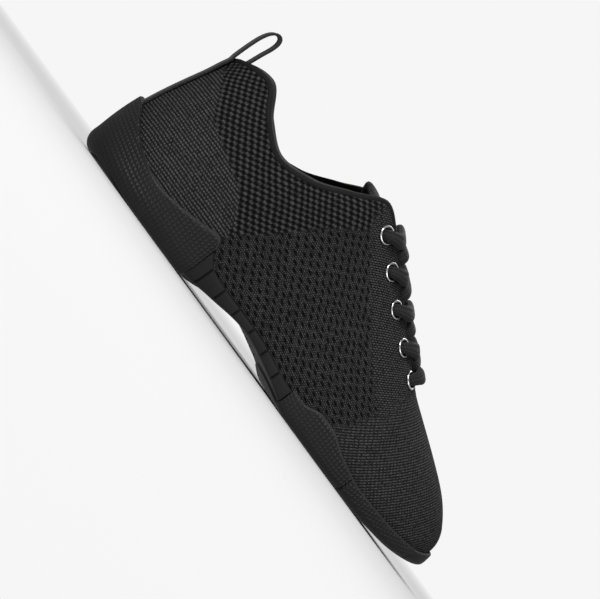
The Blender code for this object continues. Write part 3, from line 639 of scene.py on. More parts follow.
def lining_finish():
    """Close black mesh lining."""
    f = Finish("black_lining", (0.016, 0.016, 0.017), 0.9, gloss=0.2, sheen_weight=0.05)
    x, y, z = (f.math("MULTIPLY", socket, 1000.0) for socket in f.parts(f.object_place()))
    row = f.math("ADD", z, f.math("MULTIPLY", y, 0.8))
    place = f.math("ADD", f.math("ADD", x, y), f.math("PINGPONG", row, 1.1))
    weave = f.stitches(place, row, 1.5, 1.1, 0.42, offset=0.0)
    # Painted shade in the weave's hollows and painted highlight on its tops.
    return f.relief(weave, (0.008, 0.008, 0.0082), (0.04, 0.04, 0.041), 0.6, 0.3).material


def tape_finish():
    """Smooth black binding tape with a fine rib along it."""
    f = Finish("black_binding", (0.012, 0.012, 0.0125), 0.62, gloss=0.12)
    u, v = f.uv(*TAPE_SPREAD)
    rib = f.stitches(f.math("ADD", u, f.math("MULTIPLY", v, 0.8)), v, 1.1, 0.6, 0.3)
    # Painted shade between the ribs and painted highlight on their tops.
    return f.relief(rib, (0.003, 0.003, 0.0031), (0.016, 0.016, 0.0164), 0.35, 0.18).material


def tongue_finish():
    """Fine black knit on the tongue."""
    f = Finish("tongue_knit", (0.018, 0.018, 0.019), 0.8, gloss=0.2, sheen_weight=0.05)
    u, v = f.uv(*TONGUE_SPREAD)
    place = f.math("ADD", u, f.math("MULTIPLY", f.math("PINGPONG", v, 1.3), 0.6))
    knit = f.stitches(place, v, 1.9, 1.3, 0.42)
    # Painted shade between the stitches and painted highlight on their tops.
    return f.relief(knit, (0.003, 0.003, 0.003), (0.032, 0.032, 0.033), 0.7, 0.4).material


def webbing_finish():
    """Grosgrain webbing with ribs across it."""
    f = Finish("grey_webbing", (0.03, 0.03, 0.031), 0.6, gloss=0.2, sheen_weight=0.05)
    u, v = f.uv(*WEBBING_SPREAD)
    rib = f.stitches(v, u, 0.75, 1.05, 0.3)
    # Painted shade between the ribs and painted highlight on their tops.
    return f.relief(rib, (0.008, 0.008, 0.0082), (0.042, 0.042, 0.043), 0.7, 0.3).material


def lace_finish():
    """Flat braided black lace: slanted strands that meet in herringbone rows."""
    f = Finish("black_braid", (0.015, 0.015, 0.016), 0.66, gloss=0.2, sheen_weight=0.05)
    u, v = f.uv(*LACE_SPREAD)
    strand = f.math("ADD", u, f.math("MULTIPLY", f.math("PINGPONG", v, 1.15), 0.9))
    braid = f.stitches(strand, v, 0.85, 1.15, 0.36, offset=0.0)
    # Painted shade between the strands and painted highlight on their tops.
    return f.relief(braid, (0.003, 0.003, 0.0031), (0.024, 0.024, 0.0245), 0.7, 0.3).material


# Pale grey of the highlight painted onto the rubber's pyramid tips and top edge.
PAINTED_HIGHLIGHT_RUBBER = (0.05, 0.05, 0.051)
PYRAMID_HALF = 1.05


def rubber_finish(name, colour, pyramids, roughness=0.5):
    """Moulded rubber, with a grid of pyramids of a depth in mm, and a highlight painted onto the pyramids'
    tips and the top edge.
    """
    f = Finish(name, colour, roughness, gloss=0.2)
    dark, light = tuple(c * 0.78 for c in colour), tuple(c * 1.22 for c in colour)
    plain = f.ramp(f.noise(28.0, detail=4.0), (0.3, dark), (0.7, light))
    if pyramids:
        u, v = f.uv(*SOLE_SPREAD)
        across, up = f.math("PINGPONG", u, PYRAMID_HALF), f.math("PINGPONG", v, PYRAMID_HALF)
        tips = f.math("MULTIPLY", f.math("MINIMUM", across, up), f.attribute("grid", "Fac"))
        # Painted highlight: the top edge and the pyramid tips are mixed towards a pale grey.
        painted_rim_highlight = f.math("MULTIPLY", f.attribute("rim", "Fac"), 0.6)
        painted_highlight = f.math("MAXIMUM", painted_rim_highlight, f.math("MULTIPLY", tips, 0.36))
        mix = f.nodes.new("ShaderNodeMix")
        mix.data_type = "RGBA"
        for place, value in ((0, painted_highlight), (6, plain), (7, PAINTED_HIGHLIGHT_RUBBER)):
            f.put(mix.inputs[place], value)
        plain = mix.outputs[2]
        f.bump(tips, 0.95, pyramids)
    uneven = f.math("ADD", f.math("MULTIPLY", f.noise(160.0), 0.22), roughness - 0.1)
    f.fill(f.shader, base_color=plain, roughness=uneven)
    return f.bump(f.noise(2600.0, detail=3.0), 0.12, 0.08).material


def metal_finish():
    """Bright nickel-plated brass with fine handling marks."""
    f = Finish("bright_nickel", (0.83, 0.83, 0.84), 0.16, metallic=1.0)
    marks = f.noise(900.0, detail=5.0)
    f.fill(f.shader, roughness=f.math("ADD", f.math("MULTIPLY", marks, 0.16), 0.1))
    return f.bump(marks, 0.05, 0.05).material


# The upper

UPPER_SPACING, UPPER_ROWS = 1.08, 74
# The ridge of the toe: its start in percent of LENGTH, half width, lowest height and smoothing passes.
RIDGE_START, RIDGE_HALF, RIDGE_LOW, RIDGE_PASSES = 72.6, 16, 30, 60
# At an eyelet: faces taken out within the first radius, border moved to the second, found within the third.
HOLE_FACES, HOLE_RADIUS, HOLE_REACH = 3.2, 3.75, 6.0
# The toe's rows are arcs about a point above the heel. Its stitches are counted round a line along the foot.
TOE_ROWS_X, TOE_ROWS_Z, TOE_LINE_Z, TOE_RADIUS = -60.0, 110.0, 4.0, 38.0
# Borders of the knit's zones: x, then z.
COUNTER_TOP = (-130, -121.6, -106.8, -89.6, -74.9, -63.1, -56.3), (79, 73.9, 54.1, 49.2, 45.2, 33.2, 12)
PIERCED_TOP = (-63, -51, -39.4, -25.6, -17), (26, 42.4, 62.8, 80.5, 87.3)
EYESTAY_LOW = (-30, -25.2, -6.4, 12.8, 28.2, 44.8, 58), (92, 85.9, 72.2, 58.6, 47.8, 38.2, 34)
TOE_BACK = (37, 41, 44.8, 51.6, 57), (10, 17.8, 25.6, 43.3, 58)


def throat_edge():
    """Points, normals and inward directions along the upper's top edge, closed, from the throat's end."""
    x = np.minimum(stations(0.0, THROAT_END_FOOT, 1.6), along(THROAT_END_FOOT))
    path, normal = [], []
    for side, order in ((LATERAL, x[::-1]), (MEDIAL, x[1:-1])):
        for place in order:
            p, n = surface(side, float(place), 1.0)
            path.append(p)
            normal.append(n)
    path, normal = np.array(path), np.array(normal)
    for _ in range(3):
        normal = unit(np.roll(normal, 1, 0) + 2 * normal + np.roll(normal, -1, 0))
    tangent = unit(np.roll(path, -1, 0) - np.roll(path, 1, 0))
    inward = unit(np.cross(normal, tangent))
    return path, unit(np.cross(tangent, inward)), inward


def zone_weights(p):
    """Shares of the counter, pierced, toe and eyestay knit at points on the upper."""
    x, z = p[:, 0], p[:, 2]
    counter = ease(-1.5, 1.5, np.interp(x, *COUNTER_TOP) - z) * (x < -52)
    pierced = ease(-2, 2, np.interp(x, *PIERCED_TOP) - z) * ease(-64, -58, x)
    toe = ease(-3, 3, x - np.interp(z, *TOE_BACK[::-1]))
    eyestay = ease(-2, 2, z - np.interp(x, *EYESTAY_LOW)) * ease(-30, -22, x) * (1 - ease(48, 60, x))
    return np.column_stack([counter * (1 - pierced), pierced, toe, eyestay])


def upper_grid():
    """Points in rows up the ribs, from the toe round the heel to the toe, and their UV."""
    x = stations(0.0, 100.0, UPPER_SPACING)
    x[np.abs(x - along(THROAT_END_FOOT)).argmin()] = along(THROAT_END_FOOT)
    sides, lengths = [], []
    for side in (LATERAL, MEDIAL):
        controls = ribs(side, x)
        shares, length = even_shares(controls, UPPER_ROWS)
        sides.append(on_ribs(controls, shares))
        lengths.append(length)
    points = np.concatenate([sides[0][::-1], sides[1][1:]]).transpose(1, 0, 2)
    lengths = np.concatenate([lengths[0][::-1], lengths[1][1:]])
    reach = run_along(points[UPPER_ROWS // 4])
    from_heel = (reach - reach[len(x) - 1]) / UPPER_SPREAD[0] + 0.5
    climb = np.linspace(0, 1, UPPER_ROWS)[:, None] * lengths[None]
    uv = np.stack([np.broadcast_to(from_heel, climb.shape), climb / UPPER_SPREAD[1]], axis=-1)
    return points, uv


def round_ridge(obj):
    """Smooths the line along the top of the toe, where the two sides' ribs meet."""
    mesh = obj.data
    x, y, z = points_of(mesh).T
    ridge = (x > along(RIDGE_START)) & (np.abs(y - axis(x)) < RIDGE_HALF) & (z > RIDGE_LOW)
    mesh.vertices.foreach_set("select", ridge)
    mesh.edges.foreach_set("select", np.zeros(len(mesh.edges), bool))
    mesh.polygons.foreach_set("select", np.zeros(len(mesh.polygons), bool))
    with editing(obj, everything=False):
        bpy.ops.mesh.select_mode(type="VERT")
        bpy.ops.mesh.vertices_smooth(factor=0.5, repeat=RIDGE_PASSES)
        bpy.ops.mesh.select_all(action="DESELECT")


def open_eyelets(obj):
    """Takes out the faces at each eyelet and moves the border of each hole to a true circle."""
    mesh = obj.data
    centre = read(mesh.polygons, "center", 3) * 1000
    places = [(point, normal) for _, _, point, normal in eyelet_places()]
    inside = np.zeros(len(mesh.polygons), bool)
    for point, _ in places:
        inside |= np.linalg.norm(centre - point, axis=1) < HOLE_FACES
    mesh.polygons.foreach_set("select", inside)
    with editing(obj, everything=False):
        bpy.ops.mesh.select_mode(type="FACE")
        bpy.ops.mesh.delete(type="FACE")

    edges = read(mesh.edges, "vertices", 2, np.int32)
    used = read(mesh.loops, "edge_index", kind=np.int32).ravel()
    border = np.bincount(used, minlength=len(mesh.edges)) == 1
    for index in np.unique(edges[border]):
        vertex = mesh.vertices[index]
        at = np.array(vertex.co) * 1000
        for point, normal in places:
            ray = at - point
            if np.linalg.norm(ray) < HOLE_REACH:
                flat = ray - normal * np.dot(ray, normal)
                vertex.co = Vector(at + flat * (HOLE_RADIUS / np.linalg.norm(flat) - 1)) * MM


def upper():
    """The knitted wall, laid over the last's ribs, thickened inwards, with a hole for each eyelet."""
    obj = close_seams(shaped_grid("knit_upper", *upper_grid()), outwards=False)
    round_ridge(obj)
    open_eyelets(obj)
    mesh = obj.data
    sample = mesh.polygons[len(mesh.polygons) // 4]
    if sample.normal.y * (sample.center.y - float(axis(0)) * MM) < 0:
        with editing(obj):
            bpy.ops.mesh.flip_normals()
    for material in (KNIT, LINING):
        mesh.materials.append(material)
    apply_modifier(
        obj, "SOLIDIFY", thickness=KNIT_WALL * MM, offset=-1, material_offset=1, material_offset_rim=1
    )
    co = points_of(mesh)
    mark(mesh, "zones", "FLOAT_COLOR", "color", zone_weights(co))
    level = np.full(len(co), TOE_ROWS_Z)
    ahead = co - np.column_stack([np.full(len(co), TOE_ROWS_X), axis(co[:, 0]), level])
    round_foot = TOE_RADIUS * np.arctan2(ahead[:, 1], co[:, 2] - TOE_LINE_Z)
    laid = np.column_stack([np.linalg.norm(ahead, axis=1), round_foot, np.zeros(len(co))])
    mark(mesh, "toe_place", "FLOAT_VECTOR", "vector", laid)
    return finish_piece(obj, None, "knit", "upper", angle=60)


def binding():
    """Folded tape over the upper's top edge, all round the collar and throat."""
    path, normal, inward = throat_edge()
    profile = (
        (0.1, 1.6), (0.42, 1.2), (0.55, 0.4), (0.45, -0.4), (0.1, -0.85), (-0.8, -1.1), (-1.6, -1.0),
        (-2.3, -0.6), (-2.62, 0.2), (-2.68, 1.6), (-2.5, 3.4), (-1.2, 2.4),
    )
    rows = [path + normal * out - inward * down for out, down in profile]
    ring = np.stack([*rows, rows[0]])
    ring = np.concatenate([ring, ring[:, :1]], axis=1)
    uv = np.meshgrid(run_along(ring[0]) / TAPE_SPREAD[0], run_along(ring[:, 0]) / TAPE_SPREAD[1])
    obj = close_seams(shaped_grid("edge_binding", ring, np.stack(uv, axis=-1)))
    return finish_piece(obj, BINDING, "knit", angle=60)


EYELET_LIFT, EYELET_SIDES, EYELET_FLATNESS = 0.45, 44, 0.85
BARREL_RADIUS, BARREL_LENGTH, BARREL_DROP, BARREL_WALL = EYELET_HOLE_RADIUS + 0.25, 2.0, 1.1, 0.35


def eyelets():
    """Rolled metal eyelets: a flattened ring with a short barrel, modelled once and copied."""
    middle = (EYELET_FLANGE_RADIUS + EYELET_HOLE_RADIUS) / 2
    roll = (EYELET_FLANGE_RADIUS - EYELET_HOLE_RADIUS) / 2
    first = added(
        bpy.ops.mesh.primitive_torus_add, "eyelet", major_radius=middle * MM, minor_radius=roll * MM,
        major_segments=EYELET_SIDES, minor_segments=14,
    )
    with editing(first):
        bpy.ops.transform.resize(value=(1, 1, EYELET_FLATNESS))
    barrel = added(
        bpy.ops.mesh.primitive_cylinder_add, "barrel", vertices=EYELET_SIDES, radius=BARREL_RADIUS * MM,
        depth=BARREL_LENGTH * MM, end_fill_type="NOTHING", location=(0, 0, -BARREL_DROP * MM),
    )
    bpy.ops.object.transform_apply(location=True)
    apply_modifier(barrel, "SOLIDIFY", thickness=BARREL_WALL * MM, offset=-1)
    joined(first, barrel)
    shape = points_of(first.data)
    for side_name, number, point, normal in eyelet_places():
        copy = copied(first)
        copy.name = copy.data.name = f"eyelet_{side_name}_{number}_metal"
        turn = np.array(Vector((0, 0, 1)).rotation_difference(Vector(normal)).to_matrix())
        move_points(copy.data, shape @ turn.T + point + normal * EYELET_LIFT)
        finish_piece(copy, METAL, "metal", f"eyelet_{side_name}_{number}", angle=50)
    bpy.data.objects.remove(first)


def swept(name, path, broad, thin, profile, spread):
    """A closed strip along a path: profile gives (across, out) for each place, and its ends are closed."""
    rows = [path + broad * across[:, None] + thin * out[:, None] for across, out in profile]
    ring = np.stack([*rows, rows[0]])
    start, end = (np.broadcast_to(path[i], (len(ring), 1, 3)) for i in (0, -1))
    length = run_along(path)
    length = np.concatenate([length[:1], length, length[-1:]])
    uv = np.stack(np.meshgrid(length / spread, np.linspace(0, 1, len(ring))), axis=-1)
    return close_seams(shaped_grid(name, np.concatenate([start, ring, end], axis=1), uv))


def curve_through(points, count):
    """A smooth path through points, evenly spread."""
    p = np.array(points, float)
    s = np.concatenate([[0], np.cumsum(np.sqrt(np.linalg.norm(np.diff(p, axis=0), axis=1)))])
    tangent = np.gradient(p, s, axis=0)
    fine = np.linspace(0, s[-1], 400)
    i = np.clip(np.searchsorted(s, fine, side="right") - 1, 0, len(s) - 2)
    h = (s[i + 1] - s[i])[:, None]
    t = ((fine - s[i])[:, None]) / h
    path = hermite(p[i], p[i + 1], h * tangent[i], h * tangent[i + 1], t)
    length = run_along(path)
    at = np.linspace(0, length[-1], count)
    return np.stack([np.interp(at, length, path[:, k]) for k in range(3)], axis=1)


LACE_HALF_WIDTH, LACE_HALF_THICKNESS, LACE_STATIONS, LACE_SIDES = 3.8, 2.0, 72, 20
# Height over the upper and distance from the eyelet, where a strand comes out and where one goes under.
LACE_OUT = (-2.6, -0.4), (0.4, 0.3), (2.5, 2.6), (2.9, 7.0)
LACE_UNDER = (-0.6, 12.0), (-3.9, 6.0), (-4.4, 1.5)
# A strand's clearance from the tongue, and how much higher one that crosses over another lies.
LACE_CLEARANCE, LACE_CROSSING = 0.6, 2.9
TONGUE_REACH, TONGUE_END, TONGUE_ROUNDING, TONGUE_SINK = (36.2, 76.0), 13.0, 6, 0.5
TONGUE_THICKNESS, TONGUE_SWELLING, TONGUE_DROOP = 2.4, 1.6, 3.4


def tongue_arch(x):
    """Height of the tongue's middle line and radius across it."""
    return column(TONGUE, 1, x) / 100 * INSTEP_HEIGHT - TONGUE_SINK, column(TONGUE, 3, x)


def tongue_top(x, y):
    """Height of the tongue's outer face."""
    crown, radius = tongue_arch(x)
    return crown - (radius - np.sqrt(np.maximum(radius**2 - (y - axis(x)) ** 2, 1)))


def lace_strand(name, start, end, over, tucked):
    """One strand from inside an eyelet and across, then under the other edge or into its eyelet."""
    (p, n), (q, m) = start, end
    towards = q - p
    flat_p, flat_q = unit(towards - n * np.dot(towards, n)), unit(-towards + m * np.dot(towards, m))
    middle = (p + q) / 2
    middle[2] = tongue_top(middle[0], middle[1]) + LACE_HALF_THICKNESS + LACE_CLEARANCE + over
    points = [p + n * high + flat_p * away for high, away in LACE_OUT]
    normals = [-flat_p, unit(n - flat_p), n, n]
    points.append(middle)
    normals.append(unit(n + m))
    if tucked:
        points += [q + m * high + flat_q * away for high, away in LACE_UNDER]
        normals += [m, m, m]
    else:
        points += [q + m * high + flat_q * away for high, away in LACE_OUT[::-1]]
        normals += [m, m, unit(m - flat_q), -flat_q]
    path = curve_through(points, LACE_STATIONS)
    near = np.array([np.linalg.norm(path - at, axis=1).argmin() for at in points])
    place = np.arange(LACE_STATIONS)
    face = unit(np.stack([np.interp(place, near, np.array(normals)[:, k]) for k in range(3)], axis=1))
    tangent = unit(np.gradient(path, axis=0))
    broad = unit(np.cross(face, tangent))
    thin = np.cross(tangent, broad)
    s = np.linspace(0, 1, LACE_STATIONS)
    flat = ease(0.05, 0.2, s) if tucked else ease(0.05, 0.2, s) * ease(0.05, 0.2, 1 - s)
    half_width = LACE_HALF_WIDTH * (0.7 + 0.3 * flat)
    half_thickness = LACE_HALF_THICKNESS * (1.25 - 0.25 * flat)
    profile = []
    for angle in np.arange(LACE_SIDES) * 2 * np.pi / LACE_SIDES:
        c, k = np.cos(angle), np.sin(angle)
        across, out = np.sign(c) * abs(c) ** 0.62, np.sign(k) * abs(k) ** 0.8
        profile.append((half_width * across, half_thickness * out))
    return swept(name, path, broad, thin, profile, LACE_SPREAD[0])


def lace():
    """The lace as it is threaded: a bar at the lowest eyelets, then crossings tucked in at the lower end."""
    by_place = {(side, number): (point, normal) for side, number, point, normal in eyelet_places()}
    last = len(EYELET_FEET)
    strands = [lace_strand("lace_braid", by_place["lateral", last], by_place["medial", last], 0.0, False)]
    for number in range(1, last):
        for side, other in (("lateral", "medial"), ("medial", "lateral")):
            over = LACE_CROSSING if (side == "lateral") == (number % 2 == 1) else 0.0
            ends = by_place[side, number], by_place[other, number + 1]
            strands.append(lace_strand(f"strand_{side}_{number}", *ends, over, True))
    return finish_piece(joined(*strands), LACE, "lace", "lace", angle=50)


def tongue():
    """The padded tongue: an arched pad with rounded borders and a round, thicker free end."""
    low, high = along(TONGUE_REACH)
    round_end = TONGUE_END * (1 - np.cos(np.linspace(0, np.pi / 2, 22)))
    x = np.concatenate([low + round_end[:-1], np.linspace(low + TONGUE_END, high, 60)])
    from_end = np.clip((x - low) / TONGUE_END, 0, 1)
    crown, radius = tongue_arch(x)
    crown = crown - TONGUE_DROOP * (1 - from_end) ** 2.2
    half = column(TONGUE, 2, x) * np.sqrt(1 - (1 - from_end) ** 2)
    thick = TONGUE_THICKNESS + TONGUE_SWELLING * np.exp(-((x - low - 4) / 7) ** 2)
    thick *= np.sqrt(1 - (1 - np.clip(3.5 * from_end, 0, 1)) ** 2)
    across = np.linspace(-1, 1, 33)
    rows, spread = [], []
    for share, face in [(s, 1.0) for s in across] + [(s, -1.0) for s in across[::-1]] + [(across[0], 1.0)]:
        puff = np.clip(1 - abs(share) ** TONGUE_ROUNDING, 0, 1)
        bend = radius + thick / 2 * (face * puff - 1)
        angle = np.arcsin(np.clip(half / radius, -1, 1)) * share
        y, z = axis(x) + bend * np.sin(angle), crown - radius + bend * np.cos(angle)
        rows.append(np.column_stack([x, y, z]))
        spread.append(0.5 + radius * angle / TONGUE_SPREAD[1])
    ring, spread = np.stack(rows), np.stack(spread)
    ring = np.concatenate([ring, np.broadcast_to(ring[:, -1:].mean(0), ring[:, -1:].shape)], axis=1)
    spread = np.concatenate([spread, spread[:, -1:]], axis=1)
    length = np.broadcast_to((np.append(x, high) - low) / TONGUE_SPREAD[0], spread.shape)
    obj = close_seams(shaped_grid("padded_tongue", ring, np.stack([length, spread], axis=-1)))
    return finish_piece(obj, TONGUE_KNIT, "knit", "tongue", angle=70)


INSOLE_CLEARANCE, INSOLE_ROUNDING, INSOLE_CUP = 0.9, 1.6, 1.6


def insole():
    """The sock liner: a cloth-covered bed with rounded borders and a shallow cup."""
    feet = outline_sides(GAP + RUBBER_WALL + KNIT_WALL + INSOLE_CLEARANCE)
    heel, toe = feet[LATERAL][0][0, 0], feet[LATERAL][0][-1, 0]
    wall = stations(0.0, 100.0, 3.0)
    x = np.interp(wall, (wall[0], wall[-1]), (heel + HAIR, toe - HAIR))
    spine = spine_at(x)
    halves = []
    for side, name in ((LATERAL, "sock_liner"), (MEDIAL, "sock_liner_medial")):
        edge, normal = feet_at(side, x, feet)
        chain = [(spine + (edge - spine) * share, 0.0) for share in (0, 0.6, 0.97)]
        for angle in np.radians((-60, -20, 20, 60)):
            lift = INSOLE_THICKNESS / 2 * (1 + np.sin(angle))
            chain.append((edge - normal * INSOLE_ROUNDING * (1 - np.cos(angle)), lift))
        for share in (0.94, 0.85, 0.7, 0.45, 0.2, 0.0):
            cup = INSOLE_CUP * (share - 0.5) ** 2 * ease(0.45, 0.95, share)
            chain.append((spine + (edge - spine) * share, INSOLE_THICKNESS + cup))
        rows = [np.column_stack([place, bed(place[:, 0]) + GAP + lift]) for place, lift in chain]
        halves.append(shaped_grid(name, np.stack(rows)))
    return finish_piece(close_seams(joined(*halves)), LINING, "lining", "insole", angle=60)


# Across the webbing and out from its middle: a flat band with a cord along each edge.
WEBBING_SECTION = (
    (-5.0, -0.3), (-4.7, -0.62), (-4.0, -0.5), (0, -0.5), (4.0, -0.5), (4.7, -0.62), (5.0, -0.3),
    (5.0, 0.3), (4.7, 0.62), (4.0, 0.5), (0, 0.5), (-4.0, 0.5), (-4.7, 0.62), (-5.0, 0.3),
)
# Distance of the webbing's middle from the knit, and the radius that it bends to across the heel.
WEBBING_OFF, WEBBING_BEND = 0.6, 26.0
# Heights of the loop's top and the webbing's foot, the loop's half width and lean, the length tucked in.
LOOP_TOP, LOOP_FOOT, LOOP_HALF, LOOP_LEAN, LOOP_TUCK = 102.4, 30.0, 5.4, 2.0, 9.0


def pull_loop():
    """Webbing up the heel seam, folded over the collar into a loop and sewn down inside."""
    controls = ribs(LATERAL, HEEL_X)
    collar = controls[0, 3]
    seam = [p for p in on_ribs(controls, np.linspace(0.2, 1, 34)[None])[0] if p[2] > LOOP_FOOT]
    points = [(p[0] - WEBBING_OFF, p[2]) for p in seam[::3]]
    base_z, middle_x = collar[2] + 2.0, collar[0] + KNIT_WALL / 2 + 1.0
    for angle in np.radians(np.linspace(180, 0, 11)):
        share = np.sin(angle)
        width = LOOP_HALF * (0.55 + 0.45 * share)
        height = base_z + (LOOP_TOP - base_z) * share**0.6
        points.append((middle_x + LOOP_LEAN * share + width * np.cos(angle), height))
    inside_x = collar[0] + KNIT_WALL + 1.8
    points += [(inside_x + 0.6, collar[2] + 1.0), (inside_x + 0.2, collar[2] - LOOP_TUCK)]
    y = float(axis(HEEL_X))
    path = curve_through([(px, y, pz) for px, pz in points], 90)
    tangent = unit(np.gradient(path, axis=0))
    broad = np.tile([0.0, 1.0, 0.0], (len(path), 1))
    thin = np.cross(broad, tangent)
    one = np.ones(len(path))
    bent = (1 - ease(collar[2] - 14, collar[2] - 2, path[:, 2])) * (path[:, 0] < collar[0] + 1)
    profile = [
        (one * across, one * out + bent * across**2 / (2 * WEBBING_BEND)) for across, out in WEBBING_SECTION
    ]
    obj = swept("heel_webbing", path, broad, thin, profile, WEBBING_SPREAD[0])
    return finish_piece(obj, WEBBING, "lace", "pull_loop", angle=40)


# The sole

# Rows of a section under the tread, round the lower edge and up the wall, and places across the bed.
UNDER_ROWS, EDGE_ROWS, WALL_ROWS = 20, 8, 8
BED_SHARES = (1.0, 0.94, 0.88, 0.8, 0.7, 0.55, 0.38, 0.2, 0.0)
# Stations across a groove, from its middle.
GROOVE_STATIONS = np.array((-0.65, -0.5, -0.25, 0.0, 0.25, 0.5, 0.65))
# Clearance in plan between an inlay and its pocket, and the height that cutters come up from.
POCKET_GAP, CUTTER_LOW = 0.55, -4.0


def sole_chain(side, x, recess, groove):
    """One side's section at each station, from the spine under the tread round to the spine on the bed.

    groove(x, share) is the depth cut at a share of the way out: 0 to 1 under the tread, 1 to 2 up the wall.
    """
    controls = ribs(side, x)
    point, normal = feet_at(side, x)
    outward = np.column_stack([normal, np.zeros(len(x))])
    spine = spine_at(x)
    rim_z, lip, floor_z = column(RIM, 1, x) - recess, column(RIM, 2, x), bed(x)
    across, low = column(EDGE, 1, x), tread(x) + recess
    up = np.minimum(column(EDGE, 2, x), 0.75 * (floor_z - low - GROOVE_DEPTH))
    wall = point + (GAP + RUBBER_WALL) * normal

    def plan(edge, share):
        return spine + (edge - spine) * np.array([share**2, share])

    chain = []
    for share in np.linspace(0, 0.97, UNDER_ROWS):
        place = plan(wall - across[:, None] * normal, share)
        chain.append(np.column_stack([place, tread(place[:, 0]) + recess + groove(x, share)]))
    for angle in np.radians(np.linspace(90, 0, EDGE_ROWS)):
        share = 1 + 0.4 * (1 - angle / (np.pi / 2))
        depth = groove(x, share)
        inset = across + (recess - across + depth) * np.cos(angle)
        place = wall - inset[:, None] * normal
        height = tread(place[:, 0]) + recess + up * (1 - np.sin(angle)) + depth * np.sin(angle)
        chain.append(np.column_stack([place, height]))
    foot_z = low + up
    for rise in np.linspace(0, 1, WALL_ROWS + 1)[1:]:
        height = foot_z + (rim_z - lip * 0.35 - foot_z) * rise
        climb = np.clip((height - floor_z) / np.maximum(rim_z - floor_z, 0.5), 0, 1)
        off = GAP + RUBBER_WALL + (lip - RUBBER_WALL) * climb - recess * (1 - climb)
        off = off - groove(x, 1.4 + 0.6 * rise)
        place = at_heights(controls, np.maximum(height, floor_z + GAP)) + off[:, None] * outward
        place[:, 2] = height
        chain.append(place)
    cut_lip = np.maximum(lip - groove(x, 2.0), 0.3)
    for off, drop in ((0.72, 0.08), (0.4, 0.0), (0.08, 0.14)):
        place = at_heights(controls, rim_z - drop * lip) + (GAP + off * cut_lip)[:, None] * outward
        place[:, 2] = rim_z - drop * lip
        chain.append(place)
    for share in (0.6, 0.25):
        chain.append(at_heights(controls, floor_z + (rim_z - floor_z) * share) + GAP * 0.8 * outward)
    for share in BED_SHARES:
        place = plan(point + GAP * 0.8 * normal, share)
        chain.append(np.column_stack([place, bed(place[:, 0])]))
    return np.stack(chain)


def uncut(x, share):
    return np.zeros(len(x))


def sole_length(name, x, recess=0.0, grooves=(uncut, uncut)):
    """A length of the sole: both sides' sections lofted, with end walls where it meets the next length."""
    halves = []
    for side, groove in zip((LATERAL, MEDIAL), grooves):
        chain = sole_chain(side, x, recess, groove)
        step = np.linalg.norm(np.diff(chain, axis=0), axis=2)
        out = np.concatenate([np.zeros((1, len(x))), np.cumsum(step, axis=0)])
        reach = run_along(chain[UNDER_ROWS + EDGE_ROWS + WALL_ROWS // 2])
        uv = np.stack([np.broadcast_to(reach / SOLE_SPREAD[0], out.shape), out / SOLE_SPREAD[1]], axis=-1)
        halves.append(shaped_grid(f"{name}_{side}", chain, uv))
    obj = close_seams(joined(*halves))
    obj.name = obj.data.name = name
    with editing(obj, everything=False):
        bpy.ops.mesh.select_mode(type="EDGE")
        bpy.ops.mesh.select_all(action="DESELECT")
        bpy.ops.mesh.select_non_manifold(
            use_wire=False, use_multi_face=False, use_non_contiguous=False, use_verts=False
        )
        bpy.ops.mesh.fill(use_beauty=True)
    return close_seams(obj)


def oval(sizes, count=96):
    """Points of a squarish oval, anticlockwise."""
    x, y, half_length, half_width = sizes
    turn = np.arange(count) * 2 * np.pi / count
    c, s = np.cos(turn), np.sin(turn)
    return np.column_stack([
        x + half_length * np.sign(c) * np.abs(c) ** (2 / OVAL_POWER),
        y + half_width * np.sign(s) * np.abs(s) ** (2 / OVAL_POWER),
    ])


def oval_share(x, y, sizes):
    """Below 1 inside a squarish oval and above 1 outside it."""
    centre_x, centre_y, half_length, half_width = sizes
    along_it, across_it = np.abs((x - centre_x) / half_length), np.abs((y - centre_y) / half_width)
    return along_it**OVAL_POWER + across_it**OVAL_POWER


def grown(outline, by):
    """A closed outline moved outwards from its centre."""
    centre = outline.mean(0)
    ray = outline - centre
    return outline + by * ray / np.linalg.norm(ray, axis=1)[:, None]


def pocket(name, outline, depth):
    """A cutter for an inlay's pocket, its floor following the tread."""
    cutter = prism(name, outline, CUTTER_LOW, depth)
    with editing(cutter):
        bpy.ops.mesh.quads_convert_to_tris()
        bpy.ops.mesh.subdivide(number_cuts=2)
    co = points_of(cutter.data)
    co[:, 2] += tread(co[:, 0])
    move_points(cutter.data, co)
    return cutter


def textured(pad, *bare):
    """Marks a pad's top edge, for a highlight painted along it, and its grid of pyramids, which fades
    downwards and leaves bare ovals plain.
    """
    co = points_of(pad.data)
    x, y, z = co.T
    rim = column(RIM, 1, x)
    climb = (z - tread(x)) / (rim - tread(x))
    shown = (0.3 + 0.7 * ease(0.15, 0.7, climb)) * (1 - ease(0.9, 0.98, climb))
    shown[x > along(TOE_LINE_FOOT) + 1.5] = 0
    for sizes in bare:
        shown[(oval_share(x, y, sizes) < 1.0) & (z < 4.0)] = 0
    mark(pad.data, "grid", "FLOAT", "value", shown)
    # The rim mark paints a highlight in a band just below the rubber's top edge.
    mark(pad.data, "rim", "FLOAT", "value", ease(-1.3, -0.2, z - rim))


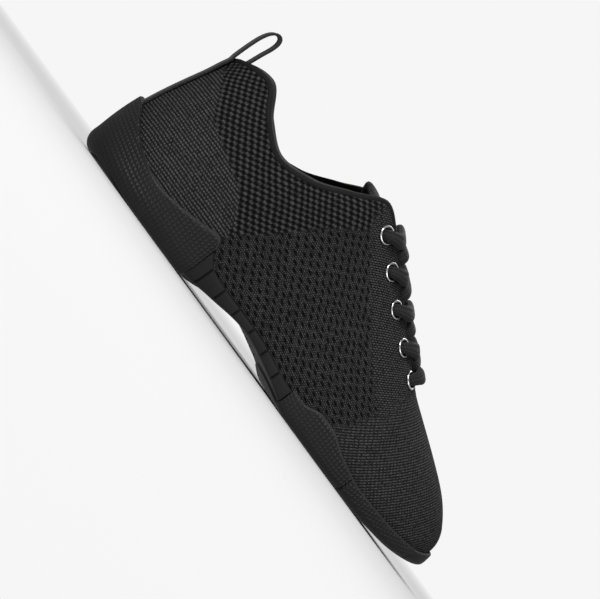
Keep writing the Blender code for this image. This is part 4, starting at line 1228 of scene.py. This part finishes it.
def heel_pad():
    """The rear pad, with a pocket for its patch and the ring groove round that."""
    pad = sole_length("heel_rubber", stations(0.0, HEEL_PAD_END, 1.5))
    carve(pad, prism("heel_pocket", grown(oval(HEEL_PATCH), POCKET_GAP), CUTTER_LOW, INLAY_DEPTH + 0.5))
    ring_x, ring_y, length, width = HEEL_RING
    ring = prism("heel_ring", oval(HEEL_RING), CUTTER_LOW, GROOVE_DEPTH)
    core = oval((ring_x, ring_y, length - GROOVE_WIDTH, width - GROOVE_WIDTH))
    carve(pad, carve(ring, prism("heel_ring_core", core, -5.0, 3.0)))
    textured(pad, (ring_x, ring_y, length - GROOVE_WIDTH / 2, width - GROOVE_WIDTH / 2))
    return finish_piece(pad, RUBBER, "rubber", "heel_pad", angle=32)


def notch(x, places, width):
    """Share of full depth in V-shaped notches at these places."""
    gap = np.min(np.abs(np.asarray(x)[:, None] - np.asarray(places)[None]), axis=1)
    return np.clip(1 - gap / (width / 2), 0, 1) ** 0.7


def arch_bridge():
    """The ribbed bridge: its grooves run up the medial side, and every other one is short laterally."""
    low = float(along(HEEL_PAD_END)) + ARCH_END_GAP
    high = float(along(FOREFOOT_PAD_START)) - ARCH_END_GAP
    places = np.linspace(*along(ARCH_GROOVE_SPAN), ARCH_GROOVES)
    between = (places[:-1] + places[1:]) / 2
    across = [places + offset for offset in GROOVE_STATIONS]
    x = np.sort(np.concatenate([[low, high], *across, between, between - 1, between + 1]))
    x = x[(x >= low) & (x <= high)]

    def lateral(at, share):
        long_one = notch(at, places, GROOVE_WIDTH) * (1 - ease(0.62, 0.72, share))
        short = notch(at, places[1::2], GROOVE_WIDTH) * (1 - ease(0.42, 0.5, share))
        tick = notch(at, places[::2], GROOVE_WIDTH) * ease(1.0, 1.15, share)
        near_long = np.min(np.abs(at[:, None] - places[::2][None]), axis=1) < 1
        return GROOVE_DEPTH * (np.where(near_long, long_one, short) + 0.75 * tick)

    def medial(at, share):
        return GROOVE_DEPTH * notch(at, places, GROOVE_WIDTH)

    arch = sole_length("arch_rubber", x, ARCH_RECESS, (lateral, medial))
    return finish_piece(arch, ARCH_RUBBER, "rubber", "arch_bridge", angle=32)


def forefoot_pad():
    """The front pad: its flex groove, a soft crease behind the toes and a line across the outer toe."""
    flex, crease_x, toe_line = (float(along(foot)) for foot in (FLEX_GROOVE_FOOT, CREASE_FOOT, TOE_LINE_FOOT))
    x = stations(FOREFOOT_PAD_START, 100.0, 1.5)
    for line in (flex, toe_line):
        x = np.concatenate([x[np.abs(x - line) > 0.9], line + GROOVE_STATIONS])

    def medial(at, share):
        crease = 0.45 * np.exp(-((at - crease_x) / 3.0) ** 2) * (share < 1)
        return GROOVE_DEPTH * notch(at, [flex], GROOVE_WIDTH) + crease

    def lateral(at, share):
        return medial(at, share) + 0.6 * GROOVE_DEPTH * notch(at, [toe_line], 0.9) * ease(0.5, 0.6, share)

    pad = sole_length("forefoot_rubber", np.sort(x), 0.0, (lateral, medial))
    carve(pad, pocket("ball_pocket", grown(closed_curve(BALL_PATCH, 90), POCKET_GAP), INLAY_DEPTH + 0.4))
    carve(pad, pocket("toe_pocket", grown(closed_curve(TOE_PATCH, 70), 0.5), INLAY_DEPTH + 0.4))
    textured(pad)
    return finish_piece(pad, RUBBER, "rubber", "forefoot_pad", angle=32)


STUD_PITCH, STUD_GAP, STUD_HEIGHT, STUD_BEVEL, STUD_PLATE, STUD_INSET = 4.3, 0.5, 0.9, 0.18, 0.65, 0.7


def heel_patch():
    """The honeycomb patch: a plate with clipped six-sided studs."""
    centre_x, centre_y, half_length, half_width = HEEL_PATCH
    plate = prism("honeycomb_patch", oval(HEEL_PATCH), STUD_PLATE, INLAY_DEPTH)
    row_step, radius = STUD_PITCH * math.sqrt(3) / 2, (STUD_PITCH - STUD_GAP) / math.sqrt(3)
    sizes = {"vertices": 6, "radius": radius * MM, "depth": STUD_HEIGHT * MM}
    stud = added(bpy.ops.mesh.primitive_cylinder_add, "stud", **sizes)
    with editing(stud):
        bpy.ops.transform.rotate(value=math.radians(30), orient_axis="Z", center_override=(0, 0, 0))
    apply_modifier(
        stud, "BEVEL", width=STUD_BEVEL * MM, segments=1, limit_method="ANGLE", angle_limit=math.radians(50)
    )
    reach = (centre_x, centre_y, half_length + 1, half_width + 1)
    studs = []
    for row in range(-8, 9):
        for place in range(-6, 7):
            x = centre_x + row * row_step
            y = centre_y + (place + 0.5 * (row % 2)) * STUD_PITCH
            if oval_share(x, y, reach) < 1.0:
                studs.append(copied(stud))
                studs[-1].location = (x * MM, y * MM, STUD_HEIGHT / 2 * MM)
    bpy.data.objects.remove(stud)
    comb = joined(*studs)
    bpy.ops.object.transform_apply(location=True)
    carve(comb, prism("comb_border", grown(oval(HEEL_PATCH), -STUD_INSET), -1.0, 3.0), "INTERSECT")
    only(plate)
    return finish_piece(joined(plate, comb), INLAY, "inlay", "heel_patch", angle=30)


# One groove: share of the way from its inner to its outer circle, and share of its depth.
RING_PROFILE = ((0.56, 0.0), (0.68, 1.0), (0.88, 1.0), (1.0, 0.0))


def ringed_patch(name, corners, count, centre, rings, growth, drift, lines, depth):
    """A turning patch clipped to its outline: grooves round a disc, then wider ones that drift one way."""
    circles = [(0.0, 0.0, 0.0)]
    for inner, outer in zip((0.0, *rings[:-1]), rings):
        circles += [(inner + (outer - inner) * share, 0.0, cut) for share, cut in RING_PROFILE]
    for line in range(lines):
        for share, cut in RING_PROFILE:
            grow = (line + share) * growth
            circles.append((rings[-1] + grow, grow, cut))
    angle = np.linspace(0, 2 * np.pi, 121)
    rows = []
    for radius, grow, cut in circles:
        x = centre[0] + drift[0] * grow + radius * np.cos(angle)
        y = centre[1] + drift[1] * grow + radius * np.sin(angle)
        rows.append(np.column_stack([x, y, tread(x) + cut * depth]))
    hub = np.tile([*centre, 0.0], (len(angle), 1))
    widest = rows[-1]
    for share in np.linspace(1.0, 0.0, 11):
        ring = hub + (widest - hub) * share
        ring[:, 2] = tread(ring[:, 0]) + INLAY_DEPTH
        rows.append(ring)
    disc = close_seams(shaped_grid(name, np.stack(rows)))
    border = prism(f"{name}_border", closed_curve(corners, count), CUTTER_LOW, 14.0)
    return carve(disc, border, "INTERSECT")


def ball_patch():
    disc = ringed_patch(
        "ball_turning_patch", BALL_PATCH, 90, centre=(50.0, 25.0), rings=(2.6, 5.4, 8.2, 10.8, 12.9, 15.0),
        growth=2.0, drift=(-0.3, -0.55), lines=16, depth=0.6,
    )
    return finish_piece(disc, INLAY, "inlay", "ball_patch", angle=25)


def toe_patch():
    disc = ringed_patch(
        "toe_turning_patch", TOE_PATCH, 70, centre=(99.0, 23.0), rings=(9.2, 10.4),
        growth=1.9, drift=(0.42, -0.5), lines=9, depth=0.55,
    )
    return finish_piece(disc, INLAY, "inlay", "toe_patch", angle=25)


# Floor, light and camera

WHITE = (1.0, 1.0, 1.0, 1)
# Strength of the surround as it is seen and as a light.
BACKDROP, AMBIENT = 0.92, 0.33


def floor():
    """A pale floor that fades into the surround and is seen from above only."""
    plane = added(bpy.ops.mesh.primitive_plane_add, "floor", size=30, location=(0, 0, -0.0002))
    plane.visible_diffuse = plane.visible_glossy = plane.visible_shadow = False
    f = Finish("pale_floor", (0.62, 0.62, 0.62), 0.9, gloss=0.0)
    glow = f.nodes.new("ShaderNodeEmission")
    f.fill(glow, color=WHITE, strength=BACKDROP)
    away = f.node("ShaderNodeVectorMath", 1, settings={"operation": "LENGTH"}, vector=f.object_place())
    far = f.node("ShaderNodeMapRange", value=away, from_min=0.35, from_max=1.1)
    side = f.nodes.new("ShaderNodeNewGeometry")
    clear = f.nodes.new("ShaderNodeBsdfTransparent")
    faded, shown = f.nodes.new("ShaderNodeMixShader"), f.nodes.new("ShaderNodeMixShader")
    for mix, parts in (
        (faded, (far, f.shader.outputs[0], glow.outputs[0])),
        (shown, (side.outputs["Backfacing"], faded.outputs[0], clear.outputs[0])),
    ):
        for socket, output in zip(mix.inputs, parts):
            f.links.new(output, socket)
    f.links.new(shown.outputs[0], f.nodes["Material Output"].inputs["Surface"])
    plane.data.materials.append(f.material)


def lights():
    """A pale surround, weaker as a light than as a backdrop, and four soft lamps."""
    world = bpy.data.worlds.new("studio")
    bpy.context.scene.world = world
    world.use_nodes = True
    sky, links = world.node_tree.nodes, world.node_tree.links
    light, backdrop = sky["Background"], sky.new("ShaderNodeBackground")
    for shade, strength in ((light, AMBIENT), (backdrop, BACKDROP)):
        shade.inputs["Color"].default_value = WHITE
        shade.inputs["Strength"].default_value = strength
    seen, either = sky.new("ShaderNodeLightPath"), sky.new("ShaderNodeMixShader")
    parts = (seen.outputs["Is Camera Ray"], light.outputs[0], backdrop.outputs[0])
    for socket, output in zip(either.inputs, parts):
        links.new(output, socket)
    links.new(either.outputs[0], sky["World Output"].inputs["Surface"])
    for name, place, aim_z, size, power in (
        ("key", (-0.75, -0.9, 1.0), 0.04, 0.7, 19.0),
        ("side", (0.8, -1.1, 0.55), 0.04, 0.6, 5.0),
        ("back", (0.2, 1.0, 1.1), 0.05, 0.9, 8.0),
        ("below", (-0.2, -0.7, -0.9), 0.02, 1.6, 5.0),
    ):
        bpy.ops.object.light_add(type="AREA", location=place)
        lamp = bpy.context.object
        lamp.name = name
        lamp.data.size, lamp.data.energy = size, power
        towards = Vector((0, 0, aim_z)) - Vector(place)
        lamp.rotation_euler = towards.to_track_quat("-Z", "Y").to_euler()
    bpy.context.scene.view_settings.view_transform = "Standard"


def camera():
    """At the photograph's bearing, just above the floor, rolled so that the toe points down to the right."""
    bearing, roll, distance, height = math.radians(-12), math.radians(54), 1.05, 0.014
    back = Vector((math.sin(bearing), -math.cos(bearing), 0))
    aim = Vector((-0.010, -0.002, 0.039))
    bpy.ops.object.camera_add()
    cam = bpy.context.object
    cam.name = "camera"
    cam.data.lens, cam.data.sensor_width = 133.0, 36.0
    cam.location = aim + back * distance
    cam.location.z = height
    cam.rotation_mode = "QUATERNION"
    cam.rotation_quaternion = (aim - cam.location).to_track_quat("-Z", "Y") @ Quaternion((0, 0, 1), roll)
    bpy.context.scene.camera = cam


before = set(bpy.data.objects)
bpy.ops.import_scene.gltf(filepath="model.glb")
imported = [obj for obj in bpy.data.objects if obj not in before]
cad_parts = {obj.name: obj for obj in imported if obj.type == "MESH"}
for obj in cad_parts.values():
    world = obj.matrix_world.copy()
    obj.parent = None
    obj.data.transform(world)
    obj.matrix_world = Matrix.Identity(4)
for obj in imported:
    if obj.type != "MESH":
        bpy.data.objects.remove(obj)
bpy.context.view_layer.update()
bpy.ops.object.select_all(action="DESELECT")
floor()
lights()
camera()

KNIT, LINING, BINDING, TONGUE_KNIT = knit_finish(), lining_finish(), tape_finish(), tongue_finish()
WEBBING, LACE, METAL = webbing_finish(), lace_finish(), metal_finish()
RUBBER = rubber_finish("pyramid_rubber", (0.0074, 0.0074, 0.0077), 0.65)
ARCH_RUBBER = rubber_finish("smooth_rubber", (0.0095, 0.0095, 0.0098), 0.0)
INLAY = rubber_finish("polished_rubber", (0.013, 0.013, 0.0135), 0.0, 0.42)

upper()
binding()
tongue()
insole()
heel_pad()
arch_bridge()
forefoot_pad()
heel_patch()
ball_patch()
toe_patch()
eyelets()
lace()
pull_loop()
